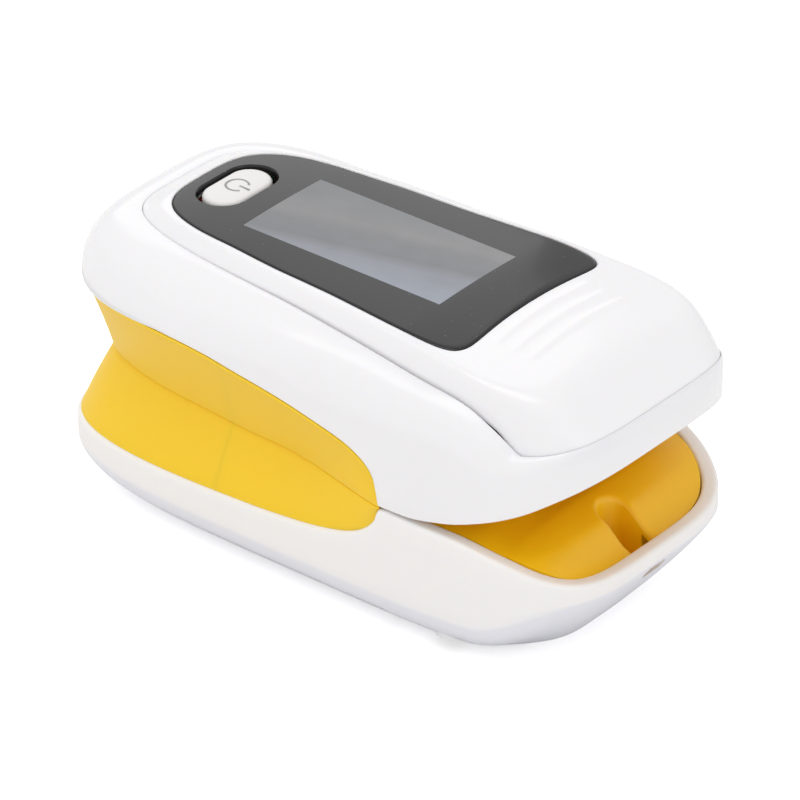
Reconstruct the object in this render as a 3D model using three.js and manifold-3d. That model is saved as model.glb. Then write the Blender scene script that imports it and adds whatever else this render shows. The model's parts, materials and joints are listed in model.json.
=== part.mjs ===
// Fingertip pulse oximeter: a spring-closed clamp of two jaws, with a display on top.
// Millimetres. +X is the end the finger enters, +Z is up, z = 0 is the underside.
import * as THREE from 'three';
import { mergeVertices } from 'three/addons/utils/BufferGeometryUtils.js';
import Module from 'manifold-3d';

const wasm = await Module();
wasm.setup();

// ---------------------------------------------------------------- driving dimensions
const LOWER = { x0: -0.6, a: 31.9, b: 16.7, n: 4.2 }; // plan outline of the lower jaw
const UPPER = { x0: 0, a: 31.5, b: 16.7, n: 4.1 }; // plan outline of the upper jaw
const SEAM = { x0: 2.2, a: 29.0, halfWidth: 12.3, flare: 0.086, n: 4.9 }; // top panel's edge
const PLATEAU = { x0: 0.55, a: 24.85, halfWidth: 11.2, flare: 0.09, n: 5.6 }; // its flat middle
const RIDGE_SOFTNESS = 0.02; // of the plateau's half width
const SHOULDER = { side: 1.7, rear: 2.2 }; // 2 is a round shoulder, 1 is a straight bevel
const RING_POINTS = 48;
const WALL = 1.6;
const GAP = 0.3; // between neighbouring pieces
const TIP_X = 11.1; // where the skirts end and the shells meet
const PIVOT = { x: -9, z: 15.6 };
const PIN_R = 1.0;
const BORE_R = 1.15;
const DECK_TOP = 13.1; // inner deck over the cells, behind the finger stop
const LINER = 0.9;
const CELL = { r: 5.25, length: 44.5, x: -0.65, y: 5.4, z: 6.75 }; // AAA
const DOOR = { front: 10.5, lip: 2.2, plate: 1.2 };
const PANEL = 1.4;
const WINDOW = 0.7;
const BUTTON = { x: -19.8, length: 8, width: 4.5, top: 30.5, bottom: 28.4 };
const DISPLAY = { x: -2.35, length: 26.7, width: 19.2, top: 28.45, thick: 1.1 };
const SENSOR_X = 12;
const BOARD = { inset: 5.2, bottom: 23.9, top: 24.9 };

// Heights along the jaws' edges: [x, z] pairs.
const UPPER_EDGE = profile([[-31.5, 23.4], [-22, 23.05], [-18, 23.15], [-14, 23.1], [-10.3, 22.9],
  [-6.6, 22.4], [-0.5, 21.5], [3.1, 20.75], [6.7, 19.85], [8.45, 19.1], [9.7, 18.2], [10.5, 17.1],
  [10.9, 15.5], [TIP_X, 14.4], [13.7, 14.4], [18.2, 15.1], [22.3, 16.4], [25.9, 18.0], [28.9, 19.8],
  [31.9, 21.6]]);
const LOWER_EDGE = profile([[-31.9, 7.5], [-18.7, 7.8], [-4.4, 8.4], [-0.7, 8.7], [3, 9.15], [6.6, 9.95],
  [8.4, 10.7], [9.7, 11.7], [10.6, 12.9], [10.9, 13.8], [TIP_X, 14.1], [13.7, 14.0], [19.2, 13.7],
  [24.2, 12.6], [28, 11.2], [31.3, 9.9]]);
const CREASE_INSET = profile([[-25, 3.3], [-19, 3.0], [-13, 2.8], [-6, 2.5], [-3, 2.5], [1.2, 2.05],
  [5.6, 1.15], [10.1, 0.2], [TIP_X, 0]]);
const CREASE_HEIGHT = profile([[-14, 14.75], [TIP_X, 14.25]]); // where the two soft skirts meet
const SEAM_SIDE = profile([[-28, 29.1], [-6, 28.95], [5, 28.4], [14, 27.65], [17.5, 27.4], [19.6, 27.0],
  [21.5, 26.2], [23.3, 25.2], [25.2, 23.8], [27, 22.5]]);
const CROWN = profile([[-28, 29.9], [-24, 30.3], [-18, 30.6], [-12, 30.72], [9, 30.72], [16, 30.4],
  [21, 30.1], [26, 29.7], [31.6, 28.4]]);

// ---------------------------------------------------------------- maths
function profile(knots) {
  const rise = (i) => (knots[i + 1][1] - knots[i][1]) / (knots[i + 1][0] - knots[i][0]);
  const slope = (i) => {
    if (i === 0) return rise(0);
    if (i === knots.length - 1) return rise(i - 1);
    const product = rise(i - 1) * rise(i);
    return product <= 0 ? 0 : (2 * product) / (rise(i - 1) + rise(i));
  };
  return (x) => {
    if (x <= knots[0][0]) return knots[0][1];
    if (x >= knots.at(-1)[0]) return knots.at(-1)[1];
    const i = knots.findIndex((knot) => knot[0] > x) - 1;
    const step = knots[i + 1][0] - knots[i][0];
    const u = (x - knots[i][0]) / step;
    const rest = (1 - u) * u * ((1 - u) * (slope(i) - rise(i)) - u * (slope(i + 1) - rise(i)));
    return knots[i][1] + rise(i) * u * step + rest * step;
  };
}

function smooth(from, to, x) {
  const u = THREE.MathUtils.clamp((x - from) / (to - from), 0, 1);
  return u * u * (3 - 2 * u);
}

const power = (value, n) => Math.sign(value) * Math.abs(value) ** (2 / n);

// A point of a rounded outline at angle t, moved inwards by inset.
function onOutline(outline, t, inset = 0) {
  const x = outline.x0 + outline.a * power(Math.cos(t), outline.n);
  const d = typeof inset === 'function' ? inset(x) : inset;
  return [
    outline.x0 + (outline.a - d) * power(Math.cos(t), outline.n),
    (outline.b - d) * power(Math.sin(t), outline.n),
  ];
}

// Angles that space points evenly along a closed outline, from the front end round to it again.
function evenAngles(count, pointAt) {
  const fine = 2880;
  const angles = Array.from({ length: fine + 1 }, (_, i) => (i / fine) * 2 * Math.PI);
  const lengths = [0];
  for (let i = 1; i <= fine; i += 1) {
    const [x0, y0] = pointAt(angles[i - 1]);
    const [x1, y1] = pointAt(angles[i]);
    lengths.push(lengths[i - 1] + Math.hypot(x1 - x0, y1 - y0));
  }
  return Array.from({ length: count }, (_, k) => {
    const target = (k / count) * lengths[fine];
    return angles[lengths.findIndex((length) => length >= target)];
  });
}
const ANGLES = evenAngles(RING_POINTS, (t) => onOutline(UPPER, t));

function ring(outline, inset, height) {
  return ANGLES.map((t) => {
    const [x, y] = onOutline(outline, t, inset);
    const edgeX = onOutline(outline, t)[0];
    return [x, y, typeof height === 'function' ? height(edgeX, y) : height];
  });
}

// ---------------------------------------------------------------- solids
function flatten(points, faces) {
  const geometry = new THREE.BufferGeometry();
  geometry.setAttribute('position', new THREE.Float32BufferAttribute(points.flat(), 3));
  let volume = 0;
  const corner = (i) => new THREE.Vector3(...points[i]);
  for (const [a, b, c] of faces) volume += corner(a).dot(corner(b).cross(corner(c)));
  const outward = volume > 0 ? faces : faces.map(([a, b, c]) => [a, c, b]);
  geometry.setIndex(outward.flat());
  return geometry;
}

// Rings of equal length joined in order. A looped loft closes on itself; the others are capped.
function loft(rings, looped = false) {
  const count = rings[0].length;
  const points = rings.flat();
  const faces = [];
  const last = looped ? rings.length : rings.length - 1;
  for (let i = 0; i < last; i += 1) {
    const next = (i + 1) % rings.length;
    for (let j = 0; j < count; j += 1) {
      const k = (j + 1) % count;
      faces.push([i * count + j, i * count + k, next * count + k]);
      faces.push([i * count + j, next * count + k, next * count + j]);
    }
  }
  if (!looped) {
    for (const [start, turned] of [[0, true], [(rings.length - 1) * count, false]]) {
      const middle = [0, 1, 2].map((axis) => {
        const sum = points.slice(start, start + count).reduce((total, p) => total + p[axis], 0);
        return sum / count;
      });
      points.push(middle);
      const centre = points.length - 1;
      for (let j = 0; j < count; j += 1) {
        const pair = [start + j, start + ((j + 1) % count)];
        faces.push(turned ? [centre, pair[1], pair[0]] : [centre, ...pair]);
      }
    }
  }
  return flatten(points, faces);
}

// A plate with a given plan edge, its two faces following top(x, y) and bottom(x, y).
function plate(edge, centre, top, bottom, steps = [1, 0.93, 0.82, 0.6, 0.3]) {
  const scaled = (s, height) => edge.map(([x, y]) => {
    const px = centre[0] + (x - centre[0]) * s;
    const py = centre[1] + (y - centre[1]) * s;
    return [px, py, height(px, py)];
  });
  const under = [...steps].reverse().map((s) => scaled(s, bottom));
  const over = steps.map((s) => scaled(s, top));
  return loft([...under, ...over]);
}

function box(x0, x1, y0, y1, z0, z1) {
  const geometry = new THREE.BoxGeometry(x1 - x0, y1 - y0, z1 - z0);
  return geometry.translate((x0 + x1) / 2, (y0 + y1) / 2, (z0 + z1) / 2);
}

function rod(radius, x, y, z0, z1, sides = 12) {
  const geometry = new THREE.CylinderGeometry(radius, radius, z1 - z0, sides);
  return geometry.rotateX(Math.PI / 2).translate(x, y, (z0 + z1) / 2);
}

function rodAlongX(radius, x0, x1, y, z, sides = 16) {
  const geometry = new THREE.CylinderGeometry(radius, radius, x1 - x0, sides);
  return geometry.rotateZ(Math.PI / 2).translate((x0 + x1) / 2, y, z);
}

function rodAlongY(radius, y0, y1, x, z, sides = 16) {
  const geometry = new THREE.CylinderGeometry(radius, radius, y1 - y0, sides);
  return geometry.translate(x, (y0 + y1) / 2, z);
}

// A pill-shaped prism whose long side runs along Y.
function pill(x, y, length, width, z0, z1, bevel = 0) {
  const r = width / 2;
  const reach = length / 2 - r;
  const shape = new THREE.Shape();
  shape.absarc(0, reach, r, 0, Math.PI, false);
  shape.absarc(0, -reach, r, Math.PI, 2 * Math.PI, false);
  shape.closePath();
  const geometry = new THREE.ExtrudeGeometry(shape, {
    depth: z1 - z0 - 2 * bevel,
    bevelEnabled: bevel > 0,
    bevelThickness: bevel,
    bevelSize: bevel,
    bevelOffset: -bevel,
    bevelSegments: 1,
    curveSegments: 7,
  });
  return geometry.translate(x, y, z0 + bevel);
}

function solid(geometry) {
  const bare = geometry.clone();
  bare.deleteAttribute('normal');
  bare.deleteAttribute('uv');
  const merged = mergeVertices(bare, 1e-4);
  const corners = merged.index.array;
  const triangles = [];
  for (let i = 0; i < corners.length; i += 3) {
    const [a, b, c] = corners.slice(i, i + 3);
    if (a !== b && b !== c && c !== a) triangles.push(a, b, c);
  }
  return new wasm.Manifold(new wasm.Mesh({
    numProp: 3,
    vertProperties: new Float32Array(merged.attributes.position.array),
    triVerts: new Uint32Array(triangles),
  }));
}

function carve(base, { add = [], cut = [], keep = [] }) {
  let result = solid(base);
  for (const geometry of add) result = result.add(solid(geometry));
  for (const geometry of keep) result = result.intersect(solid(geometry));
  for (const geometry of cut) result = result.subtract(solid(geometry));
  const mesh = result.getMesh();
  const geometry = new THREE.BufferGeometry();
  geometry.setAttribute('position', new THREE.BufferAttribute(mesh.vertProperties, 3));
  geometry.setIndex(new THREE.BufferAttribute(mesh.triVerts, 1));
  return geometry;
}

class Route extends THREE.Curve {
  constructor(at) {
    super();
    this.at = at;
  }

  getPoint(u, target = new THREE.Vector3()) {
    return target.set(...this.at(u));
  }
}

function circlePoints(x, y, radius, sides) {
  return Array.from({ length: sides }, (_, k) => {
    const angle = (k / sides) * 2 * Math.PI;
    return new THREE.Vector2(x + radius * Math.cos(angle), y + radius * Math.sin(angle));
  });
}

function wire(radius, at, steps, sides = 5) {
  const shape = new THREE.Shape(circlePoints(0, 0, radius, sides));
  return new THREE.ExtrudeGeometry(shape, { steps, extrudePath: new Route(at) });
}

// ---------------------------------------------------------------- materials and nodes
const finishes = {
  white: { color: 0xf1f0f2, roughness: 0.28, metalness: 0 },
  lowerWhite: { color: 0xefebe7, roughness: 0.34, metalness: 0 },
  yellow: { color: 0xf2bb38, roughness: 0.5, metalness: 0 },
  silicone: { color: 0xf6c744, roughness: 0.55, metalness: 0 },
  smoked: { color: 0x3c3c3f, roughness: 0.16, metalness: 0 },
  glass: { color: 0x8b9096, roughness: 0.08, metalness: 0 },
  lens: { color: 0xd8dde0, roughness: 0.06, metalness: 0 },
  circuit: { color: 0x1f5a34, roughness: 0.5, metalness: 0 },
  black: { color: 0x1a1a1c, roughness: 0.6, metalness: 0 },
  steel: { color: 0xb9bcc0, roughness: 0.3, metalness: 1 },
  cell: { color: 0x2f4f86, roughness: 0.35, metalness: 0.2 },
  amber: { color: 0xb9742a, roughness: 0.45, metalness: 0 },
};

const group = new THREE.Group();

function node(name, finish, geometry) {
  const mesh = new THREE.Mesh(geometry, new THREE.MeshStandardMaterial(finishes[finish]));
  mesh.name = name;
  group.add(mesh);
}

// ---------------------------------------------------------------- lower jaw
const bottomInset = (x) => 4.2 + 2.2 * smooth(20, 31, x);
const sideStart = (x) => 5 + 3.4 * smooth(21, 31, x);
const bevelCurve = (x) => 1.8 - 0.65 * smooth(22, 31, x); // 1 is a straight bevel
const BOTTOM_STEPS = [0, 0.1, 0.28, 0.55, 1];

function bottomRing(step, thickness, floor) {
  return ring(
    LOWER,
    (x) => bottomInset(x) * (1 - step) ** bevelCurve(x) + thickness,
    (x) => Math.max(floor, sideStart(x) * step),
  );
}

function lowerOuter() {
  return BOTTOM_STEPS.map((step) => bottomRing(step, 0, 0));
}

const CASE_SCREWS = [[-29, -5.5, 2.7], [-29, 5.5, 2.7], [17, -13, 1.2], [17, 13, 1.2]];
const POST_R = 1.5;
const POST_TOP = 8;
const SCREW = { head: 1.3, headHeight: 0.8, shank: 0.7, length: 5 };

function lowerShell() {
  const inner = [
    ring(LOWER, WALL, LOWER_EDGE),
    bottomRing(1, WALL, 0),
    bottomRing(0.55, WALL, 0),
    bottomRing(0.35, WALL, 1.5),
    ring(LOWER, (x) => bottomInset(x) + WALL, 1.5),
  ];
  const bowl = loft([...lowerOuter(), ring(LOWER, 0, LOWER_EDGE), ...inner]);
  const posts = CASE_SCREWS.map(([x, y, z]) => rod(POST_R, x, y, Math.max(z, 1.3), POST_TOP));
  const bores = CASE_SCREWS.flatMap(([x, y, z]) => [
    rod(SCREW.shank + 0.1, x, y, -1, POST_TOP + 1),
    rod(SCREW.head + 0.05, x, y, -1, z + SCREW.headHeight + 0.1),
  ]);
  return carve(bowl, {
    add: posts,
    cut: [
      box(-40, DOOR.front + GAP, -20, 20, -1, DOOR.lip + GAP),
      box(28, 33, -1.5, 1.5, 6.7, 7.9),
      ...bores,
    ],
  });
}

function batteryDoor() {
  const block = loft([...lowerOuter()]);
  const hollow = loft([
    ring(LOWER, (x) => bottomInset(x) + 1.4, DOOR.plate),
    ring(LOWER, (x) => bottomInset(x) + 1.4, DOOR.lip + 1),
  ]);
  return carve(block, { keep: [box(-40, DOOR.front, -20, 20, -1, DOOR.lip)], cut: [hollow] });
}

const linerInset = (x) => Math.max(CREASE_INSET(x) + 1.5, WALL + GAP);
const PAD_FRONT = profile([[20, 12.4], [24.3, 12.7], [26.5, 11.4], [28.5, 9.7], [31, 8.9]]);

function padTop(x, y) {
  const halfWidth = 14.8;
  const side = Math.min(LOWER_EDGE(x) - 0.4, 13.9);
  const dish = 13.9 - 1.5 * Math.exp(-((y / 5) ** 2));
  const cradle = x > 18 ? PAD_FRONT(x) + (side - PAD_FRONT(x)) * (Math.abs(y) / halfWidth) ** 2 : dish;
  const front = smooth(18, 23, x);
  const finger = dish * (1 - front) + cradle * front;
  const open = smooth(-6, -2, x);
  const level = DECK_TOP * (1 - open) + finger * open;
  return x > TIP_X ? Math.min(level, LOWER_EDGE(x) - 0.2) : level;
}

function earShape(baseZ, halfBase, radius) {
  const shape = new THREE.Shape();
  const up = Math.sign(baseZ - PIVOT.z);
  shape.moveTo(PIVOT.x - halfBase, baseZ);
  shape.lineTo(PIVOT.x - radius, PIVOT.z);
  shape.absarc(PIVOT.x, PIVOT.z, radius, Math.PI, 0, up < 0);
  shape.lineTo(PIVOT.x + halfBase, baseZ);
  shape.closePath();
  shape.holes.push(new THREE.Path(circlePoints(PIVOT.x, PIVOT.z, BORE_R, 20)));
  return shape;
}

function ears(baseZ, halfBase, radius, y0, y1) {
  const shape = earShape(baseZ, halfBase, radius);
  const options = { depth: y1 - y0, bevelEnabled: false, curveSegments: 6 };
  return [-1, 1].map((side) => {
    const ear = new THREE.ExtrudeGeometry(shape, options).rotateX(Math.PI / 2);
    return ear.translate(0, side > 0 ? y1 : -y0, 0);
  });
}

// The walls round the lanyard groove, which end just inside the pad above them.
function lanyardPocket() {
  const along = [23.2, 24.8, 26.4, 28];
  const half = 3;
  const side = (y, xs) => xs.map((x) => [x, y]);
  const outline = [...side(-half, along), ...side(half, [...along].reverse())];
  const level = (height) => outline.map(([x, y]) => [x, y, height(x, y)]);
  return loft([level(() => 6), level((x, y) => padTop(x, y) - 0.3)]);
}

const LINER_STEPS = [1, 0.88, 0.7, 0.5, 0.25];

function lowerLiner() {
  const edge = ring(LOWER, linerInset, 0).map(([x, y]) => [x, y]);
  const bottom = (x, y) => padTop(x, y) - LINER;
  const pad = plate(edge, [2, 0], padTop, bottom, LINER_STEPS);
  return carve(pad, {
    add: [lanyardPocket(), ...ears(DECK_TOP - 0.5, 3.4, 2.1, 7.9, 9.5)],
    cut: [
      lanyardGroove(),
      box(SENSOR_X - 4.5, SENSOR_X + 4.5, -3.5, 3.5, 9, 16),
      box(-13.2, -10.8, -1.6, 1.6, 9, 16),
    ],
  });
}

function lanyardGroove() {
  const half = 1.7;
  const rear = 24.3;
  const shape = new THREE.Shape();
  shape.moveTo(33, -half);
  shape.lineTo(33, half);
  shape.absarc(rear + half, 0, half, Math.PI / 2, (3 * Math.PI) / 2, false);
  shape.closePath();
  const cut = new THREE.ExtrudeGeometry(shape, { depth: 12, bevelEnabled: false, curveSegments: 12 });
  return cut.translate(0, 0, 6.6);
}

// A thin soft band from one end of the leaf, round the rear, to the other end.
function skirt(outline, edgeHeight, edgeSide) {
  const limit = 9;
  const chosen = ANGLES.filter((t) => onOutline(outline, t)[0] < limit);
  const sections = chosen.map((t) => {
    const edgeX = onOutline(outline, t)[0];
    const z = edgeHeight(edgeX) + edgeSide * 2 * GAP;
    const inset = CREASE_INSET(edgeX);
    const creaseZ = CREASE_HEIGHT(edgeX) - edgeSide * 0.2;
    return [
      [...onOutline(outline, t, 0.3), z],
      [...onOutline(outline, t, inset), creaseZ],
      [...onOutline(outline, t, inset + 1), creaseZ],
      [...onOutline(outline, t, 1.4), z],
    ];
  });
  return loft(sections);
}

function helix(y0, y1, radius, turns, from) {
  return (u) => {
    const angle = from + u * turns * 2 * Math.PI;
    const y = y0 + (y1 - y0) * u;
    return [PIVOT.x + radius * Math.cos(angle), y, PIVOT.z + radius * Math.sin(angle)];
  };
}

// Coils round the pin with one leg on the deck and one under the roof, both to the rear.
function torsionSpring(side) {
  const radius = 1.68;
  const coil = helix(side * 4.4, side * 7.2, radius, 4.5, -Math.PI / 2);
  const leg = 0.12;
  const legEnd = -21;
  return wire(0.32, (u) => {
    if (u < leg) {
      const s = 1 - u / leg;
      const [x, y, z] = coil(0);
      return [x + (legEnd - x) * s, y, z - 0.05 * s];
    }
    if (u > 1 - leg) {
      const s = (u - 1 + leg) / leg;
      const [x, y, z] = coil(1);
      return [x + (legEnd - x) * s, y, z + 2.9 * s];
    }
    return coil((u - leg) / (1 - 2 * leg));
  }, 46);
}

function cellSpring(y) {
  const turns = 3;
  const radius = 2.6;
  return wire(0.3, (u) => {
    const angle = u * turns * 2 * Math.PI;
    const reach = radius - 1.1 * u;
    return [-25.7 + 2.2 * u, y + reach * Math.cos(angle), CELL.z + reach * Math.sin(angle)];
  }, 30);
}

function cellAt(y) {
  const front = CELL.x + CELL.length / 2;
  const nub = 1;
  const body = new THREE.CylinderGeometry(CELL.r, CELL.r, CELL.length - nub, 24);
  const placed = body.rotateZ(Math.PI / 2).translate(CELL.x - nub / 2, y, CELL.z);
  return carve(placed, { add: [rodAlongX(1.9, front - nub - 0.5, front, y, CELL.z)] });
}

function cellTray() {
  const outer = box(-27, 23, -11.3, 11.3, 3.7, 7.6);
  return carve(outer, { cut: [box(-26.4, 22.4, -10.8, 10.8, 2, 9)] });
}

function flexCable() {
  const half = 0.12;
  const route = [[4, 9.6], [-12, 9.6], [-12, BOARD.bottom - 0.1]];
  const shape = new THREE.Shape();
  shape.moveTo(route[0][0], route[0][1] - half);
  shape.lineTo(route[1][0] - half, route[1][1] - half);
  shape.lineTo(route[2][0] - half, route[2][1]);
  shape.lineTo(route[2][0] + half, route[2][1]);
  shape.lineTo(route[1][0] + half, route[1][1] + half);
  shape.lineTo(route[0][0], route[0][1] + half);
  shape.closePath();
  const ribbon = new THREE.ExtrudeGeometry(shape, { depth: 1.6, bevelEnabled: false });
  return ribbon.rotateX(Math.PI / 2).translate(0, 0.8, 0);
}

function screw(x, y, z0, up) {
  const head = up ? [z0, z0 + SCREW.headHeight] : [z0 - SCREW.headHeight, z0];
  const shank = up
    ? [z0 + SCREW.headHeight - 0.1, z0 + SCREW.length]
    : [z0 - SCREW.length, z0 - SCREW.headHeight + 0.1];
  const outer = up ? head[0] : head[1];
  return carve(rod(SCREW.head, x, y, ...head), {
    add: [rod(SCREW.shank, x, y, ...shank, 8)],
    cut: [box(x - 1, x + 1, y - 0.25, y + 0.25, outer - 0.35, outer + 0.35)],
  });
}

node('lower_shell', 'lowerWhite', lowerShell());
node('battery_door', 'lowerWhite', batteryDoor());
node('lower_liner', 'yellow', lowerLiner());
node('lower_skirt', 'silicone', skirt(LOWER, LOWER_EDGE, 1));
node('battery_tray', 'black', cellTray());
for (const [name, side] of [['left', 1], ['right', -1]]) {
  const y = side * CELL.y;
  node(`battery_${name}`, 'cell', cellAt(y));
  node(`cell_spring_${name}`, 'steel', cellSpring(y));
  node(`front_contact_${name}`, 'steel', box(21.85, 22.1, y - 3.4, y + 3.4, 3.2, 10.2));
  node(`torsion_spring_${name}`, 'steel', torsionSpring(side));
}
node('rear_contact', 'steel', box(-26.3, -26.05, -9, 9, 3.2, 10));
node('sensor_window', 'lens', box(SENSOR_X - 4.2, SENSOR_X + 4.2, -3.2, 3.2, 11.7, 12.3));
node('photodiode', 'black', box(SENSOR_X - 2, SENSOR_X + 2, -1.2, 1.2, 10.6, 11.4));
node('sensor_board', 'circuit', box(4.3, 19, -0.8, 0.8, 9.85, 10.3));
node('flex_cable', 'amber', flexCable());
node('hinge_pin', 'steel', rodAlongY(PIN_R, -11.6, 11.6, PIVOT.x, PIVOT.z));
CASE_SCREWS.forEach(([x, y, z], i) => {
  node(`case_screw_${i + 1}`, 'steel', screw(x, y, z, true));
});

// ---------------------------------------------------------------- upper jaw
function seamPoint(t, inset = 0) {
  const x = SEAM.x0 + (SEAM.a - inset) * power(Math.cos(t), SEAM.n);
  const halfWidth = SEAM.halfWidth + SEAM.flare * x - inset;
  return [x, halfWidth * power(Math.sin(t), SEAM.n)];
}

function seamHeight(x, y) {
  const front = 25.7 - 1.8 * (Math.abs(y) / 13.4) ** 6;
  return Math.max(SEAM_SIDE(x), front);
}

// How far (x, y) is from the panel's middle towards its edge: 0 to 1.
function seamShare(x, y) {
  const along = Math.abs((x - SEAM.x0) / SEAM.a) ** SEAM.n;
  const across = Math.abs(y / (SEAM.halfWidth + SEAM.flare * x)) ** SEAM.n;
  return (along + across) ** (1 / SEAM.n);
}

// How far (x, y) is from the plateau's middle, as a share of the way to the ridge round it.
function plateauShare(x, y) {
  const along = Math.abs((x - PLATEAU.x0) / PLATEAU.a) ** PLATEAU.n;
  const across = Math.abs(y / (PLATEAU.halfWidth + PLATEAU.flare * x)) ** PLATEAU.n;
  return (along + across) ** (1 / PLATEAU.n);
}

// A nearly flat plateau that breaks over a soft ridge and falls to the seam.
function topHeight(x, y) {
  const share = Math.max(seamShare(x, y), 1e-3);
  const edge = seamHeight(SEAM.x0 + (x - SEAM.x0) / share, y / share);
  const past = plateauShare(x, y) - 1;
  const out = (past + Math.hypot(past, RIDGE_SOFTNESS)) / 2;
  const corner = smooth(16, 26, x) * smooth(6, 13, Math.abs(y));
  const bulge = 1 + 0.8 * smooth(12, 22, x) + 2 * corner;
  const fall = (out / (out + Math.max(0, 1 - share))) ** bulge;
  const crown = CROWN(x) - 0.0035 * y ** 2;
  return crown + (edge - crown) * fall;
}

function shoulder(turn) {
  return ANGLES.map((t) => {
    const [ox, oy] = onOutline(UPPER, t);
    const [sx, sy] = seamPoint(t);
    const reach = Math.hypot(ox - sx, oy - sy);
    const fullness = SHOULDER.side + (SHOULDER.rear - SHOULDER.side) * smooth(-14, -26, ox);
    const share = 1 - power(Math.cos(turn), fullness);
    const drop = (reach * 0.95 + 0.2) * (1 - power(Math.sin(turn), fullness));
    return [ox + (sx - ox) * share, oy + (sy - oy) * share, seamHeight(sx, sy) - drop];
  });
}

function seamRing(inset, drop) {
  return ANGLES.map((t) => {
    const [x, y] = seamPoint(t, inset);
    return [x, y, seamHeight(...seamPoint(t)) - drop];
  });
}

function upperShell() {
  const innerTop = ANGLES.map((t, i) => {
    const start = shoulder(0)[i][2] - 0.3;
    const ledge = seamHeight(...seamPoint(t)) - PANEL - 1.3;
    return [...onOutline(UPPER, t, WALL), Math.min(start, ledge)];
  });
  return loft([
    ring(UPPER, 0, UPPER_EDGE),
    ...[0, 0.35, 0.7, 1.1].map(shoulder),
    seamRing(0, 0),
    seamRing(0, PANEL + GAP),
    seamRing(1, PANEL + GAP),
    seamRing(1, PANEL + 1.2),
    innerTop,
    ring(UPPER, WALL, UPPER_EDGE),
  ], true);
}

// The window's outline: narrower and round at the rear, wider with a hollow front edge.
function windowPoint(t, grow = 0) {
  const n = Math.cos(t) < 0 ? 3.6 : 12;
  const x = -4 + ((Math.cos(t) < 0 ? 20.0 : 20.4) + grow) * power(Math.cos(t), n);
  const halfWidth = 9.95 + 1.45 * smooth(-6, 16, x) - 0.6 * smooth(-4, -14, x) + grow;
  const y = halfWidth * power(Math.sin(t), n);
  const hollow = 0.9 * Math.max(0, 1 - (y / 11.2) ** 2) * smooth(10, 16, x);
  return [x - hollow, y];
}

const windowEdge = (grow = 0) => evenAngles(RING_POINTS, windowPoint).map((t) => windowPoint(t, grow));

const WINDOW_STEPS = [1, 0.85, 0.5];

const buttonHole = (grow, z0, z1) => pill(BUTTON.x, 0, BUTTON.length + grow, BUTTON.width + grow, z0, z1);

function topPanel() {
  const edge = ANGLES.map((t) => seamPoint(t, GAP));
  const body = plate(edge, [SEAM.x0, 0], topHeight, (x, y) => topHeight(x, y) - PANEL);
  const recess = plate(windowEdge(0.25), [-4, 0], (x, y) => topHeight(x, y) + 2,
    (x, y) => topHeight(x, y) - WINDOW - 0.15, WINDOW_STEPS);
  return carve(body, {
    cut: [recess, buttonHole(0.9, 26, 33), box(-14.9, 10.3, -6.6, 6.6, 26, 33)],
  });
}

function displayWindow() {
  const lens = plate(windowEdge(), [-4, 0], topHeight, (x, y) => topHeight(x, y) - WINDOW, WINDOW_STEPS);
  return carve(lens, { cut: [buttonHole(0.7, 26, 33)] });
}

function frameAround(x, length, width, z0, z1, rim) {
  const outer = box(x - length / 2, x + length / 2, -width / 2, width / 2, z0, z1);
  const inner = box(x - length / 2 + rim, x + length / 2 - rim, -width / 2 + rim, width / 2 - rim, z0 - 1, z1 + 1);
  return carve(outer, { cut: [inner] });
}

const BOARD_SCREWS = [[-22, -7], [-22, 7], [21, -8.5], [21, 8.5]];
const ROOF = 21.2;

function roofUnder(x, y) {
  const edge = Math.min(UPPER_EDGE(x), 22.3) + GAP;
  const share = Math.min(1, (Math.abs((x - UPPER.x0) / 29.8) ** 4 + Math.abs(y / 14.8) ** 4) ** 0.25);
  return edge + (ROOF - edge) * (1 - share ** 4);
}

function upperLiner() {
  const inset = (x) => WALL + GAP + smooth(-6, -14, x);
  const edge = ring(UPPER, inset, 0).map(([x, y]) => [x, y]);
  const roof = plate(edge, [2, 0], (x, y) => roofUnder(x, y) + LINER, roofUnder, LINER_STEPS);
  const posts = BOARD_SCREWS.map(([x, y]) => rod(1.9, x, y, roofUnder(x, y) + 0.4, BOARD.bottom - 0.1));
  const bores = BOARD_SCREWS.map(([x, y]) => rod(SCREW.shank + 0.1, x, y, ROOF - 4, BOARD.bottom + 1));
  const stop = box(-6.4, -5.4, -7.4, 7.4, 16.2, ROOF + 0.5);
  return carve(roof, {
    add: [...posts, stop, ...ears(ROOF + 1, 3.8, 2.0, 9.9, 11.5)],
    cut: [
      ...bores,
      box(SENSOR_X - 4.5, SENSOR_X + 4.5, -3.5, 3.5, 19, 24),
      box(-13.2, -10.8, -1.6, 1.6, 19, 24),
    ],
  });
}

function mainBoard() {
  const flat = (z) => ring(UPPER, BOARD.inset, z);
  const holes = BOARD_SCREWS.map(([x, y]) => rod(SCREW.shank + 0.15, x, y, 20, 30));
  return carve(loft([flat(BOARD.bottom), flat(BOARD.top)]), { cut: holes });
}

function tactileSwitch() {
  const { x } = BUTTON;
  return carve(box(x - 2.2, x + 2.2, -2.2, 2.2, BOARD.top + 0.05, 26.5), {
    add: [rod(1.1, x, 0, 26.4, 27.9)],
  });
}

const display = { x: DISPLAY.x, z: DISPLAY.top };
const displayBox = (z0, z1) => box(
  display.x - DISPLAY.length / 2,
  display.x + DISPLAY.length / 2,
  -DISPLAY.width / 2,
  DISPLAY.width / 2,
  z0,
  z1,
);

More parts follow.
